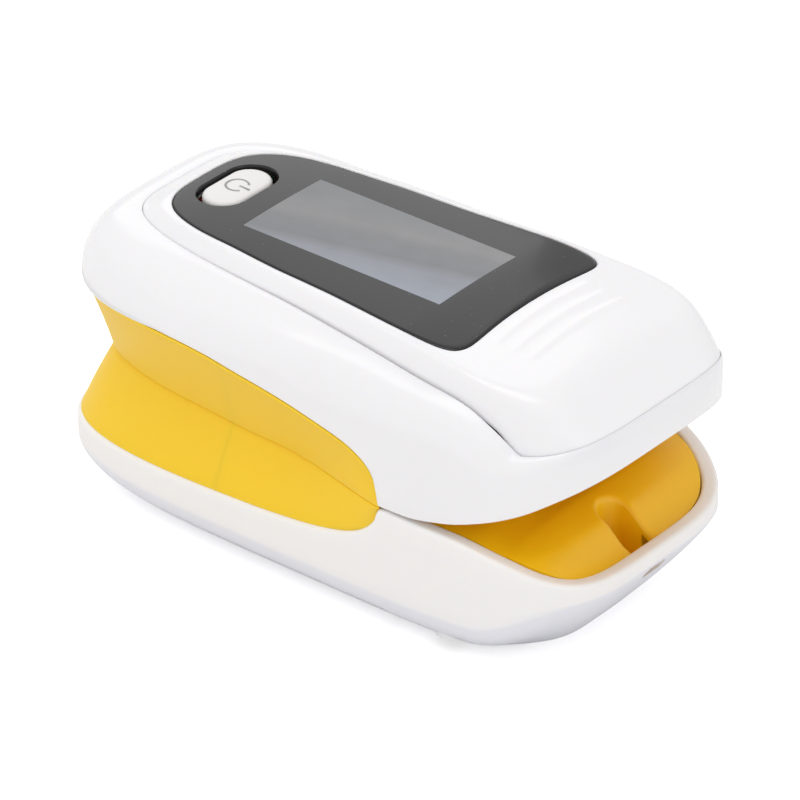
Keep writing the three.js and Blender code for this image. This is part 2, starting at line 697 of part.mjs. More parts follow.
node('upper_shell', 'white', upperShell());
node('top_panel', 'white', topPanel());
node('display_window', 'smoked', displayWindow());
node('display_module', 'glass', displayBox(display.z - DISPLAY.thick, display.z));
node('display_gasket', 'black', frameAround(display.x, DISPLAY.length, DISPLAY.width, 28.48, 28.62, 1.6));
node('main_board', 'circuit', mainBoard());
node('processor_chip', 'black', box(-2, 5, -3.5, 3.5, BOARD.top + 0.05, BOARD.top + 0.95));
node('tactile_switch', 'black', tactileSwitch());
node('power_button', 'white', pill(BUTTON.x, 0, BUTTON.length, BUTTON.width, BUTTON.bottom, BUTTON.top, 0.4));
node('upper_liner', 'yellow', upperLiner());
node('upper_skirt', 'silicone', skirt(UPPER, UPPER_EDGE, -1));
node('emitter_window', 'lens', box(SENSOR_X - 4.2, SENSOR_X + 4.2, -3.2, 3.2, ROOF + 0.05, ROOF + 0.75));
node('led_emitter', 'black', box(SENSOR_X - 2.5, SENSOR_X + 2.5, -1.5, 1.5, ROOF + 1, ROOF + 2));
BOARD_SCREWS.forEach(([x, y], i) => {
  node(`board_screw_${i + 1}`, 'steel', screw(x, y, BOARD.top + 0.9, false));
});

export default group;
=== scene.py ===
"""Fingertip pulse oximeter: fine surfaces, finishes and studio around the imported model."""

import json
import math

import bmesh
import bpy
import numpy as np
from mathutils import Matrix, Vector


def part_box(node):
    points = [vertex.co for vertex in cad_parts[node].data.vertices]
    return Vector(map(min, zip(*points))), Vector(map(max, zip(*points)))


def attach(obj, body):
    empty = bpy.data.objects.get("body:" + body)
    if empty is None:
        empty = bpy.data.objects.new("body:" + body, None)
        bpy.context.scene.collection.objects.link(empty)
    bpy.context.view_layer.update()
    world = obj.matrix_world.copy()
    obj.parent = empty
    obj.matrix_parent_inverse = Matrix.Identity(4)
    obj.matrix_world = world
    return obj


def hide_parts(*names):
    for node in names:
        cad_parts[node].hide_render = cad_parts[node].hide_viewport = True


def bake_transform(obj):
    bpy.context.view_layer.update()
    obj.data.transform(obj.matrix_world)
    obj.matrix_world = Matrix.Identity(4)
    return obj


bl_info = {
    "name": "Fingertip Pulse Oximeter",
    "version": (1, 0, 0),
    "blender": (4, 5, 0),
    "location": "View3D > Sidebar > Oximeter",
    "description": "Builds the visible pieces of a fingertip pulse oximeter around its frame",
    "category": "Object",
}

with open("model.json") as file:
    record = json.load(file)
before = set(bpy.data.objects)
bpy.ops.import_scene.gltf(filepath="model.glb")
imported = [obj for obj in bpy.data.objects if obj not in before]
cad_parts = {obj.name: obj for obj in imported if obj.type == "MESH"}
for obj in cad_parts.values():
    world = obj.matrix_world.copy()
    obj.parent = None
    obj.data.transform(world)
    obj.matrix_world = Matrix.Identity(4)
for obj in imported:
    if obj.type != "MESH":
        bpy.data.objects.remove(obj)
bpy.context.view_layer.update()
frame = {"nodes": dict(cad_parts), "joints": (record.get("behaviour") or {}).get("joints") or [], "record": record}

MM = 0.001
RING_POINTS = 320
PANEL_POINTS = 420
SHARP_ANGLE = math.radians(38)
OUTLINE_POINTS = 1600
FLOOR_GLOW = 0.45
FLOOR_REACH = 1500


# ------------------------------------------------------------------ sizes from the frame
def box_mm(node):
    low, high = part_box(node)
    return np.array(low) / MM, np.array(high) / MM


def plan_of(node, roundness):
    """The rounded outline that a shell's box holds: middle, half length, half width, roundness."""
    low, high = box_mm(node)
    return (low[0] + high[0]) / 2, (high[0] - low[0]) / 2, (high[1] - low[1]) / 2, roundness


UPPER = plan_of("upper_shell", 4.1)
LOWER = plan_of("lower_shell", 4.2)
SEAM_MIDDLE, SEAM_REACH, SEAM_WIDTH, SEAM_FLARE, SEAM_ROUND = 2.2, 29.0, 12.3, 0.086, 4.9
PLATEAU_MIDDLE, PLATEAU_REACH, PLATEAU_WIDTH = 0.55, 24.85, 11.2
PLATEAU_FLARE, PLATEAU_ROUND = 0.09, 5.6
FRONT_SEAM, FRONT_SEAM_DROP, FRONT_SEAM_HALF = 25.7, 1.8, 13.4
WINDOW_MIDDLE = np.array([-4.0, 0.0])
LINER_MIDDLE = np.array([2.0, 0.0])
SCREEN_LOW, SCREEN_HIGH = (-14.2, -5.75, 26), (9.6, 5.75, 33)
SCREEN_GAP = 0.02
PANE_THICKNESS = 0.72
HOLE_LENGTH, HOLE_WIDTH = 9.1, 5.3
SENSOR_OPENING = (7.6, -3.4, 16.4, 3.4)
CABLE_OPENING = (-13.2, -1.6, -10.8, 1.6)
POST_RADIUS, BORE_RADIUS = 1.5, 1.35
SLOT_HEIGHT, SLOT_RADIUS, SLOT_SPREAD = 7.35, 0.7, 0.85
RIDGE_SOFTNESS = 0.022
WALL = 1.6
TIP_X = 11.1
PIVOT = np.array(frame["joints"][0]["pos_m"]) / MM
BUTTON_LOW, BUTTON_HIGH = box_mm("power_button")
DOOR_HIGH = box_mm("battery_door")[1]
GLASS_LOW, GLASS_HIGH = box_mm("display_module")


# ------------------------------------------------------------------ curves
def profile(knots):
    """A smooth height along X through (x, z) knots, with no overshoot between them."""
    xs, zs = np.array(knots, float).T
    step = np.diff(xs)
    rise = np.diff(zs) / step
    slope = np.concatenate([[rise[0]], np.zeros(len(rise) - 1), [rise[-1]]])
    product = rise[:-1] * rise[1:]
    keep = product > 0
    slope[1:-1][keep] = (2 * product / np.where(keep, rise[:-1] + rise[1:], 1))[keep]

    def height(x):
        x = np.clip(x, xs[0], xs[-1])
        i = np.clip(np.searchsorted(xs, x, side="right") - 1, 0, len(step) - 1)
        u = (x - xs[i]) / step[i]
        bend = u * (1 - u) * ((1 - u) * (slope[i] - rise[i]) - u * (slope[i + 1] - rise[i]))
        return zs[i] + (rise[i] * u + bend) * step[i]

    return height


UPPER_EDGE = profile([(-31.5, 23.4), (-22, 23.05), (-18, 23.15), (-14, 23.1), (-10.3, 22.9),
                      (-6.6, 22.4), (-0.5, 21.5), (3.1, 20.75), (6.7, 19.85), (8.45, 19.1),
                      (9.7, 18.2), (10.5, 17.1), (10.9, 15.5), (TIP_X, 14.4), (13.7, 14.4),
                      (18.2, 15.1), (22.3, 16.4), (25.9, 18.0), (28.9, 19.8), (31.9, 21.6)])
LOWER_EDGE = profile([(-31.9, 7.5), (-18.7, 7.8), (-4.4, 8.4), (-0.7, 8.7), (3, 9.15), (6.6, 9.95),
                      (8.4, 10.7), (9.7, 11.7), (10.6, 12.9), (10.9, 13.8), (TIP_X, 14.1),
                      (13.7, 14.0), (19.2, 13.7), (24.2, 12.6), (28, 11.2), (31.3, 9.9)])
CREASE_INSET = profile([(-25, 3.3), (-19, 3.0), (-13, 2.8), (-6, 2.5), (-3, 2.5), (1.2, 2.05),
                        (5.6, 1.15), (10.1, 0.2), (TIP_X, 0.05)])
CREASE_HEIGHT = profile([(-14, 14.75), (TIP_X, 14.25)])
SEAM_SIDE = profile([(-28, 29.1), (-6, 28.95), (5, 28.4), (14, 27.65), (17.5, 27.4), (19.6, 27.0),
                     (21.5, 26.2), (23.3, 25.2), (25.2, 23.8), (27, 22.5)])
CROWN = profile([(-28, 29.9), (-24, 30.3), (-18, 30.62), (-12, 30.72), (9, 30.72), (16, 30.4),
                 (21, 30.1), (26, 29.7), (31.6, 28.4)])
PAD_FRONT = profile([(18, 12.4), (24.3, 12.75), (26.5, 11.5), (28.5, 9.8), (31, 8.9)])


def smooth(start, end, x):
    u = np.clip((x - start) / (end - start), 0, 1)
    return u * u * (3 - 2 * u)


def power(value, roundness):
    return np.sign(value) * np.abs(value) ** (2 / roundness)


def outline(plan, angles, inset=0):
    middle, reach, half_width, roundness = plan
    x = middle + (reach - inset) * power(np.cos(angles), roundness)
    return np.stack([x, (half_width - inset) * power(np.sin(angles), roundness)], 1)


def even_angles(count):
    """Angles round the upper outline from its front end, closest together near the leaf's tip."""
    fine = np.linspace(0, 2 * np.pi, 14401)
    points = outline(UPPER, fine)
    length = np.linalg.norm(np.diff(points, axis=0), axis=1)
    near_tip = np.exp(-(((points[1:, 0] - TIP_X + 0.6) / 1.2) ** 2))
    total = np.concatenate([[0], np.cumsum(length * (1 + 7 * near_tip))])
    return np.interp(np.arange(count) / count * total[-1], total, fine)


ANGLES = even_angles(RING_POINTS)


def inward(points):
    """Unit vectors that point into a closed outline."""
    along = np.roll(points, -1, 0) - np.roll(points, 1, 0)
    across = np.stack([-along[:, 1], along[:, 0]], 1)
    return across / np.linalg.norm(across, axis=1)[:, None]


def ring(points, z):
    return np.column_stack([points, np.broadcast_to(z, len(points))])


def arc(radius, steps=5):
    """A quarter round as (inset, drop) pairs, from the side face in towards the end face."""
    turns = np.linspace(0, np.pi / 2, steps)
    return [(radius * (1 - math.cos(t)), radius * (1 - math.sin(t))) for t in turns]


# ------------------------------------------------------------------ meshes
def build(name, points, faces):
    """A closed mesh in metres from points in millimetres, with its faces turned outwards."""
    mesh = bpy.data.meshes.new(name)
    mesh.from_pydata((np.asarray(points) * MM).tolist(), [], faces)
    mesh.validate()
    work = bmesh.new()
    work.from_mesh(mesh)
    bmesh.ops.remove_doubles(work, verts=work.verts, dist=1e-6)
    bmesh.ops.recalc_face_normals(work, faces=work.faces)
    if work.calc_volume(signed=True) < 0:
        bmesh.ops.reverse_faces(work, faces=work.faces)
    work.to_mesh(mesh)
    work.free()
    shade(mesh)
    piece = bpy.data.objects.new(name, mesh)
    bpy.context.scene.collection.objects.link(piece)
    return piece


def shade(mesh):
    mesh.polygons.foreach_set("use_smooth", [True] * len(mesh.polygons))
    mesh.set_sharp_from_angle(angle=SHARP_ANGLE)


def loft(name, rings, looped=False, fan=True):
    """Joins rings of equal length. A looped loft closes on itself, and the others are capped."""
    count = len(rings[0])
    points = np.concatenate(rings)
    faces = []
    bands = len(rings) if looped else len(rings) - 1
    for i in range(bands):
        low, high = i * count, ((i + 1) % len(rings)) * count
        for j in range(count):
            k = (j + 1) % count
            faces.append((low + j, low + k, high + k, high + j))
    ends = () if looped else (0, (len(rings) - 1) * count)
    for start in ends:
        if not fan:
            faces.append(tuple(range(start, start + count)))
            continue
        points = np.vstack([points, points[start:start + count].mean(0)])
        for j in range(count):
            faces.append((start + j, start + (j + 1) % count, len(points) - 1))
    return build(name, points, faces)


def boolean(piece, cutter, operation="DIFFERENCE"):
    """Cuts, trims or joins a piece with another mesh, and removes that mesh."""
    modifier = piece.modifiers.new("cut", "BOOLEAN")
    modifier.operation = operation
    modifier.solver = "MANIFOLD"
    modifier.object = cutter
    bpy.context.view_layer.update()
    graph = bpy.context.evaluated_depsgraph_get()
    mesh = bpy.data.meshes.new_from_object(piece.evaluated_get(graph))
    piece.modifiers.clear()
    piece.data = mesh
    shade(mesh)
    bpy.data.objects.remove(cutter)
    return piece


def block(low, high, name="block"):
    (x0, y0, z0), (x1, y1, z1) = low, high
    base = np.array([(x0, y0), (x1, y0), (x1, y1), (x0, y1)])
    return loft(name, [ring(base, z0), ring(base, z1)])


def rounded_block(name, low, high, radius):
    """A box whose edges are all rounded."""
    piece = block(low, high, name)
    work = bmesh.new()
    work.from_mesh(piece.data)
    bmesh.ops.dissolve_limit(work, angle_limit=0.01, verts=work.verts, edges=work.edges)
    bmesh.ops.bevel(work, geom=work.edges[:], offset=radius * MM, segments=4,
                    profile=0.5, affect="EDGES")
    work.to_mesh(piece.data)
    work.free()
    shade(piece.data)
    return piece


def turned(name, profile_points, origin, axis, sides=64):
    """A solid of revolution. Each profile point is (distance along the axis, radius)."""
    turns = np.linspace(0, 2 * np.pi, sides, endpoint=False)
    rings = []
    for along, radius in profile_points:
        radius = max(radius, 1e-3)
        u, v = radius * np.cos(turns), radius * np.sin(turns)
        flat = np.full(sides, float(along))
        columns = {"x": (flat, u, v), "y": (v, flat, u), "z": (u, v, flat)}[axis]
        rings.append(np.column_stack(columns) + np.asarray(origin, float))
    return loft(name, rings)


def pill(middle, length, width, count=RING_POINTS):
    """A pill outline whose long side runs along Y, with its points evenly spaced."""
    radius = width / 2
    straight = length - width
    around = 2 * straight + 2 * math.pi * radius
    points = []
    for s in np.arange(count) / count * around:
        half = straight / 2
        if s < half:
            points.append((radius, s))
        elif s < half + math.pi * radius:
            t = (s - half) / radius
            points.append((radius * math.cos(t), half + radius * math.sin(t)))
        elif s < half + math.pi * radius + straight:
            points.append((-radius, half - (s - half - math.pi * radius)))
        elif s < half + 2 * math.pi * radius + straight:
            t = (s - half - math.pi * radius - straight) / radius + math.pi
            points.append((radius * math.cos(t), -half + radius * math.sin(t)))
        else:
            points.append((radius, s - around))
    return np.array(points) + np.asarray(middle, float)


def wire(name, route, radius):
    """A round wire along a list of points."""
    route = np.asarray(route, float)
    along = np.gradient(route, axis=0)
    along /= np.linalg.norm(along, axis=1)[:, None]
    side = np.cross(along[0], (0.3, 0.9, 0.1))
    rings = []
    turns = np.linspace(0, 2 * np.pi, 12, endpoint=False)
    for point, forward in zip(route, along):
        side = side - forward * (side @ forward)
        side /= np.linalg.norm(side)
        other = np.cross(forward, side)
        circle = np.outer(np.cos(turns), side) + np.outer(np.sin(turns), other)
        rings.append(point + radius * circle)
    return loft(name, rings)


# ------------------------------------------------------------------ surfaces of the upper jaw
def seam_outline(angles=ANGLES):
    x = SEAM_MIDDLE + SEAM_REACH * power(np.cos(angles), SEAM_ROUND)
    return np.stack([x, (SEAM_WIDTH + SEAM_FLARE * x) * power(np.sin(angles), SEAM_ROUND)], 1)


def seam_height(x, y):
    front = FRONT_SEAM - FRONT_SEAM_DROP * (np.abs(y) / FRONT_SEAM_HALF) ** 6
    return np.maximum(SEAM_SIDE(x), front)


def top_height(x, y):
    """A nearly flat plateau that breaks over a soft ridge and falls to the seam."""
    along = np.abs((x - SEAM_MIDDLE) / SEAM_REACH) ** SEAM_ROUND
    across = np.abs(y / (SEAM_WIDTH + SEAM_FLARE * x)) ** SEAM_ROUND
    share = np.clip((along + across) ** (1 / SEAM_ROUND), 1e-3, None)
    edge = seam_height(SEAM_MIDDLE + (x - SEAM_MIDDLE) / share, y / share)
    along = np.abs((x - PLATEAU_MIDDLE) / PLATEAU_REACH) ** PLATEAU_ROUND
    across = np.abs(y / (PLATEAU_WIDTH + PLATEAU_FLARE * x)) ** PLATEAU_ROUND
    past = (along + across) ** (1 / PLATEAU_ROUND) - 1
    out = (past + np.hypot(past, RIDGE_SOFTNESS)) / 2
    bulge = 1 + 0.8 * smooth(12, 22, x) + 2 * smooth(16, 26, x) * smooth(6, 13, np.abs(y))
    fall = (out / (out + np.clip(1 - share, 0, None))) ** bulge
    crown = CROWN(x) - 0.0035 * y ** 2
    return crown + (edge - crown) * fall


def ribs(x, y):
    """Three low arcs across the panel, in front of the window."""
    height = 0
    for place in (18.2, 20.2, 22.2):
        bow = place - 1.2 * (1 - (y / 11) ** 2)
        height = height + np.exp(-(((x - bow) / 0.42) ** 2))
    return 0.07 * height * smooth(8.2, 6.0, np.abs(y))



def window_outline(grow=0.0):
    """Narrower and round at the rear, wider with a hollow edge in front."""
    angles = np.linspace(0, 2 * np.pi, 40 * OUTLINE_POINTS, endpoint=False)
    rear = np.cos(angles) < 0
    roundness = np.where(rear, 3.6, 11.0)
    x = WINDOW_MIDDLE[0] + (np.where(rear, 20.0, 20.4) + grow) * power(np.cos(angles), roundness)
    half_width = 9.95 + 1.45 * smooth(-6, 16, x) - 0.6 * smooth(-4, -14, x) + grow
    y = half_width * power(np.sin(angles), roundness)
    hollow = 0.9 * np.clip(1 - (y / 11.2) ** 2, 0, None) * smooth(10, 16, x)
    return spaced(np.stack([x - hollow, y], 1), OUTLINE_POINTS)


def spaced(points, count):
    """The same closed outline as points at even distances along it."""
    closed = np.vstack([points, points[:1]])
    along = np.concatenate([[0], np.cumsum(np.linalg.norm(np.diff(closed, axis=0), axis=1))])
    wanted = np.arange(count) / count * along[-1]
    return np.stack([np.interp(wanted, along, closed[:, i]) for i in (0, 1)], 1)


def matched(inner, outer, middle, count):
    """Two outlines as points on shared rays from the middle, spread evenly along both."""
    def polar(points):
        turn = np.unwrap(np.arctan2(points[:, 1] - middle[1], points[:, 0] - middle[0]))
        start = np.round(turn[0] / (2 * np.pi)) * 2 * np.pi
        turn = np.append(turn, turn[0] + 2 * np.pi) - start
        return turn, np.vstack([points, points[:1]])

    rays = np.linspace(0, 2 * np.pi, 20001)
    both, length = [], 0
    for points in (inner, outer):
        turn, closed = polar(points)
        both.append((turn, closed))
        line = np.stack([np.interp(rays, turn, closed[:, i]) for i in (0, 1)], 1)
        length = length + np.linalg.norm(np.diff(line, axis=0), axis=1)
    total = np.concatenate([[0], np.cumsum(length)])
    chosen = np.interp(np.arange(count) / count * total[-1], total, rays)
    return [np.stack([np.interp(chosen, turn, closed[:, i]) for i in (0, 1)], 1)
            for turn, closed in both]


# ------------------------------------------------------------------ pieces
def finish(piece, body, slot, material, *nodes):
    piece.data.materials.clear()
    piece.data.materials.append(material)
    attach(piece, body)
    if nodes:
        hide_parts(*nodes)
    return piece


def upper_casing():
    """The upper casing as one looped wall, from its lower edge over the shoulder to the seam."""
    edge = outline(UPPER, ANGLES)
    into = inward(edge)
    seam = seam_outline()
    seam_z = seam_height(seam[:, 0], seam[:, 1])
    reach = np.linalg.norm(edge - seam, axis=1)
    low = UPPER_EDGE(edge[:, 0])
    fall = reach * 0.95 + 0.2
    start = seam_z - fall
    seam_in = inward(seam)
    rings = [ring(edge + into * (WALL - 0.4), low), ring(edge + into * 0.35, low)]
    rings += [ring(edge + into * inset, low + drop) for inset, drop in reversed(arc(0.3))]
    foot = low + 0.3
    rings += [ring(edge, foot + (start - foot) * s) for s in (0.15, 0.35, 0.6, 0.85)]
    fullness = 1.7 + 0.5 * smooth(-14, -26, edge[:, 0])
    for turn in np.radians(np.linspace(0, 80, 18)):
        share = 1 - power(math.cos(turn), fullness)
        height = seam_z - fall * (1 - power(math.sin(turn), fullness))
        rings.append(ring(edge + (seam - edge) * share[:, None], height))
    lip = seam - seam_in * 0.12
    rings += [ring(lip, seam_z - 0.03), ring(seam - seam_in * 0.03, seam_z - 0.06)]
    rings += [ring(seam, seam_z - 0.16), ring(seam, seam_z - 1.65)]
    rings += [ring(seam + seam_in * 1.0, seam_z - 1.7), ring(seam + seam_in * 1.0, seam_z - 2.6)]
    top = np.minimum(start - 0.3, seam_z - 2.7)
    rings += [ring(edge + into * WALL, top), ring(edge + into * WALL, low + 0.3)]
    return loft("upper_casing", rings, looped=True)


def seam_gap(points):
    """The open line beside the panel: plain along the sides, nearly closed at both ends."""
    x = points[:, 0]
    return 0.015 + 0.2 * smooth(-20, 2, x) * smooth(27, 22, x)


def panel_cover():
    """The saddle panel, as rings from the seam in to the window's edge."""
    dense = np.linspace(0, 2 * np.pi, 60000, endpoint=False)
    seam_line = spaced(seam_outline(dense), OUTLINE_POINTS)
    inner, seam = matched(window_outline(0.07), seam_line, WINDOW_MIDDLE, PANEL_POINTS)
    seam_in = inward(seam)
    outer = seam + seam_in * seam_gap(seam)[:, None]
    rings = [ring(outer, surface_at(outer) - 1.3), ring(outer, surface_at(outer) - 0.22)]
    for inset, drop in arc(0.16)[1:]:
        near = outer + seam_in * inset
        rings.append(ring(near, surface_at(near) - drop))
    start = outer + seam_in * 0.16
    for s in np.linspace(0, 1, 72)[1:-1]:
        points = start + (inner - start) * s
        rings.append(ring(points, surface_at(points) + ribs(*points.T)))
    inner_z = surface_at(inner)
    away = inward(inner)
    rings += [ring(inner - away * 0.1, inner_z + 0.015), ring(inner, inner_z - 0.08)]
    rings += [ring(inner, inner_z - 0.85), ring(inner + away * 1.2, inner_z - 0.9)]
    rings.append(ring(inner + away * 1.2, inner_z - 1.35))
    return loft("panel_cover", rings, looped=True)


def surface_at(points):
    return top_height(points[:, 0], points[:, 1])



def button_middle():
    return (BUTTON_LOW[:2] + BUTTON_HIGH[:2]) / 2


def window_pane():
    """The smoked pane, as rings from the button's hole out to its own edge."""
    middle = button_middle()
    opening = pill(middle, HOLE_LENGTH, HOLE_WIDTH, OUTLINE_POINTS)
    hole, edge = matched(opening, window_outline(), middle, PANEL_POINTS)
    out, away = -inward(hole), inward(edge)
    lip = [(0, PANE_THICKNESS), (0, 0.3), (0.04, 0.1), (0.14, 0.0), (0.3, 0.0)]
    rings = [ring(hole + out * step, surface_at(hole + out * step) - drop) for step, drop in lip]
    inner, outer = hole + out * 0.3, edge + away * 0.3
    for s in np.linspace(0, 1, 48)[1:-1]:
        points = inner + (outer - inner) * s
        rings.append(ring(points, surface_at(points)))
    rim = [(0.3, 0.0), (0.12, 0.02), (0.03, 0.09), (0, 0.2), (0, PANE_THICKNESS)]
    rings += [ring(edge + away * step, surface_at(edge + away * step) - drop) for step, drop in rim]
    for s in np.linspace(0, 1, 12)[1:-1]:
        points = edge + (hole - edge) * s
        rings.append(ring(points, surface_at(points) - PANE_THICKNESS))
    return loft("window_pane", rings, looped=True)


def button_cap():
    """A pill-shaped cap with a rounded edge and a slightly crowned top."""
    middle = button_middle()
    low, high = BUTTON_LOW[2], BUTTON_HIGH[2]
    length, width = BUTTON_HIGH[1] - BUTTON_LOW[1], BUTTON_HIGH[0] - BUTTON_LOW[0]
    rings = [ring(pill(middle, length, width, 160), low)]
    rings.append(ring(pill(middle, length, width, 160), high - 0.55))
    for inset, drop in arc(0.45, 7):
        outline_now = pill(middle, length - 2 * inset, width - 2 * inset, 160)
        rings.append(ring(outline_now, high - drop - 0.1))
    for share in (0.75, 0.5, 0.25, 0.1):
        points = middle + (pill(middle, length - 0.9, width - 0.9, 160) - middle) * share
        rings.append(ring(points, high - 0.1 * share ** 2))
    return loft("button_cap", rings)


def power_symbol():
    """An open ring and a stem, printed on the cap."""
    middle = button_middle()
    z = BUTTON_HIGH[2] - 0.03
    radius, half_line = 1.12, 0.12
    turns = np.radians(np.linspace(38, 322, 60))
    thick = 0.03

    def strip(name, left, right):
        rings = []
        for a, b in zip(left, right):
            rings.append(np.array([(*a, z - 0.1), (*b, z - 0.1), (*b, z + thick), (*a, z + thick)]))
        return loft(name, rings)

    inner = middle + (radius - half_line) * np.stack([np.cos(turns), np.sin(turns)], 1)
    outer = middle + (radius + half_line) * np.stack([np.cos(turns), np.sin(turns)], 1)
    arc_piece = strip("power_symbol_ring", inner, outer)
    xs = middle[0] + np.array([0.25, 1.5])
    stem = strip("power_symbol_stem", np.stack([xs, middle[1] - half_line + 0 * xs], 1),
                 np.stack([xs, middle[1] + half_line + 0 * xs], 1))
    return [arc_piece, stem]


# ------------------------------------------------------------------ pieces of the lower jaw
def bottom_inset(x):
    return 4.2 + 2.2 * smooth(20, 31, x)


def side_start(x):
    return 5 + 3.4 * smooth(21, 31, x)


def bevel(x, step):
    """How far in the bevel stands, from the bottom face at step 0 to the side at step 1."""
    return bottom_inset(x) * (1 - step) ** (1.8 - 0.65 * smooth(22, 31, x))


def lower_outer_rings():
    x = outline(LOWER, ANGLES)[:, 0]
    rings = []
    for step in np.linspace(0, 1, 16):
        rings.append(ring(outline(LOWER, ANGLES, bevel(x, step)), side_start(x) * step))
    return rings


def lower_casing():
    """The lower casing with its screw posts and bores, the door's place and the lanyard slot."""
    edge = outline(LOWER, ANGLES)
    into = inward(edge)
    x = edge[:, 0]
    top = LOWER_EDGE(x)
    rings = lower_outer_rings()
    foot = side_start(x)
    rings += [ring(edge, foot + (top - 0.55 - foot) * s) for s in (0.2, 0.5, 0.8)]
    rings += [ring(edge + into * inset, top - drop) for inset, drop in arc(0.5, 7)]
    rings += [ring(edge + into * (WALL - inset), top - drop) for inset, drop in reversed(arc(0.35))]
    rings.append(ring(outline(LOWER, ANGLES, WALL), foot))
    for step, floor in ((0.55, 0.0), (0.35, 1.5)):
        inner = outline(LOWER, ANGLES, bevel(x, step) + WALL)
        rings.append(ring(inner, np.maximum(foot * step, floor)))
    rings.append(ring(outline(LOWER, ANGLES, bottom_inset(x) + WALL), 1.5))
    casing = loft("lower_casing", rings)
    for x_post, y_post, z_post in screw_places():
        shape = [(max(z_post, 1.3), POST_RADIUS), (8, POST_RADIUS)]
        post = turned("post", shape, (x_post, y_post, 0), "z", 32)
        boolean(casing, post, "UNION")
    for x_post, y_post, z_post in screw_places():
        shape = [(-0.8, BORE_RADIUS), (z_post + 0.9, BORE_RADIUS)]
        bore = turned("bore", shape, (x_post, y_post, 0), "z", 36)
        boolean(casing, bore)
    boolean(casing, block((-40, -20, -1), (DOOR_HIGH[0] + 0.22, 20, DOOR_HIGH[2] + 0.22)))
    slot = turned("slot", [(28, SLOT_RADIUS), (33, SLOT_RADIUS)], (0, 0, SLOT_HEIGHT), "x", 32)
    for vertex in slot.data.vertices:
        vertex.co.y += math.copysign(SLOT_SPREAD * MM, vertex.co.y)
    return boolean(casing, slot)


def screw_places():
    """Where each casing screw stands: x, y and the height of its head."""
    places = []
    for number in range(1, 5):
        low, high = box_mm(f"case_screw_{number}")
        places.append(((low[0] + high[0]) / 2, (low[1] + high[1]) / 2, low[2]))
    return places


def door_cover():
    """The sliding cover under the cells, cut from the lower casing's outer shape."""
    door = loft("door_cover", lower_outer_rings())
    boolean(door, block((-40, -20, -1), (DOOR_HIGH[0], 20, DOOR_HIGH[2])), "INTERSECT")
    x = outline(LOWER, ANGLES)[:, 0]
    hollow_edge = outline(LOWER, ANGLES, bottom_inset(x) + 1.4)
    hollow = loft("hollow", [ring(hollow_edge, 1.2), ring(hollow_edge, 4)])
    return boolean(door, hollow)


def pad_top(x, y):
    """Height of the finger cradle's upper face."""
    half_width = 14.8
    side = np.minimum(LOWER_EDGE(x) - 0.35, 13.9)
    dish = 13.9 - 1.5 * np.exp(-((y / 5) ** 2))
    cradle = PAD_FRONT(x) + (side - PAD_FRONT(x)) * (np.abs(y) / half_width) ** 2
    front = smooth(17, 23, x)
    finger = dish * (1 - front) + cradle * front
    open_end = smooth(-6, -2, x)
    level = 13.1 * (1 - open_end) + finger * open_end
    return np.where(x > TIP_X, np.minimum(level, LOWER_EDGE(x) - 0.2), level)


def finger_cradle():
    """The cradle with its lanyard groove, its two openings and its hinge ears."""
    edge = outline(LOWER, ANGLES)
    inset = np.maximum(CREASE_INSET(edge[:, 0]) + 1.5, WALL + 0.12)
    rim = edge + inward(edge) * inset[:, None]
    rings = []
    for s in np.linspace(0.02, 1, 30):
        points = LINER_MIDDLE + (rim - LINER_MIDDLE) * s
        rings.append(ring(points, pad_top(points[:, 0], points[:, 1]) - 0.9))
    for s in np.linspace(1, 0.02, 64):
        points = LINER_MIDDLE + (rim - LINER_MIDDLE) * s
        rings.append(ring(points, pad_top(points[:, 0], points[:, 1])))
    cradle = loft("finger_cradle", rings)
    boolean(cradle, lanyard_pocket(), "UNION")
    groove = []
    steps = ((1.6, None), (1.6, -0.5), (1.68, -0.25), (1.85, -0.06), (2.1, 0.03), (2.6, 0.4))
    for radius, rise in steps:
        turns = np.linspace(np.pi / 2, 3 * np.pi / 2, 40)
        nose = np.stack([26 + radius * np.cos(turns), radius * np.sin(turns)], 1)
        tail_x = np.linspace(26, 34, 14)[1:]
        lower = np.stack([tail_x, np.full(13, -radius)], 1)
        path = np.vstack([nose, lower, lower[::-1] * (1, -1)])
        height = 6.6 if rise is None else pad_top(np.minimum(path[:, 0], 31), path[:, 1] * 0) + rise
        groove.append(ring(path, height))
    boolean(cradle, loft("groove", groove))
    cut_openings(cradle, 9, 16)
    for side in (-1, 1):
        add_ear(cradle, side, 12.6, 3.4, 2.1, 7.9, 9.5)
    return cradle


def cut_openings(liner, low_z, high_z):
    """Cuts the sensor's window and the cable's slit through a liner."""
    for x0, y0, x1, y1 in (SENSOR_OPENING, CABLE_OPENING):
        boolean(liner, block((x0, y0, low_z), (x1, y1, high_z)))


def lanyard_pocket():
    """The plastic under the front of the cradle that the cord's groove is sunk into."""
    across = np.linspace(-3, 3, 9)
    rings = []
    for x in (23.2, 24.8, 26.4, 28):
        height = pad_top(x + 0 * across, across) - 0.3
        section = np.vstack([np.column_stack([across, 6 + 0 * across]),
                             np.column_stack([across[::-1], height[::-1]])])
        rings.append(np.column_stack([np.full(len(section), x), section]))
    return loft("lanyard_pocket", rings)


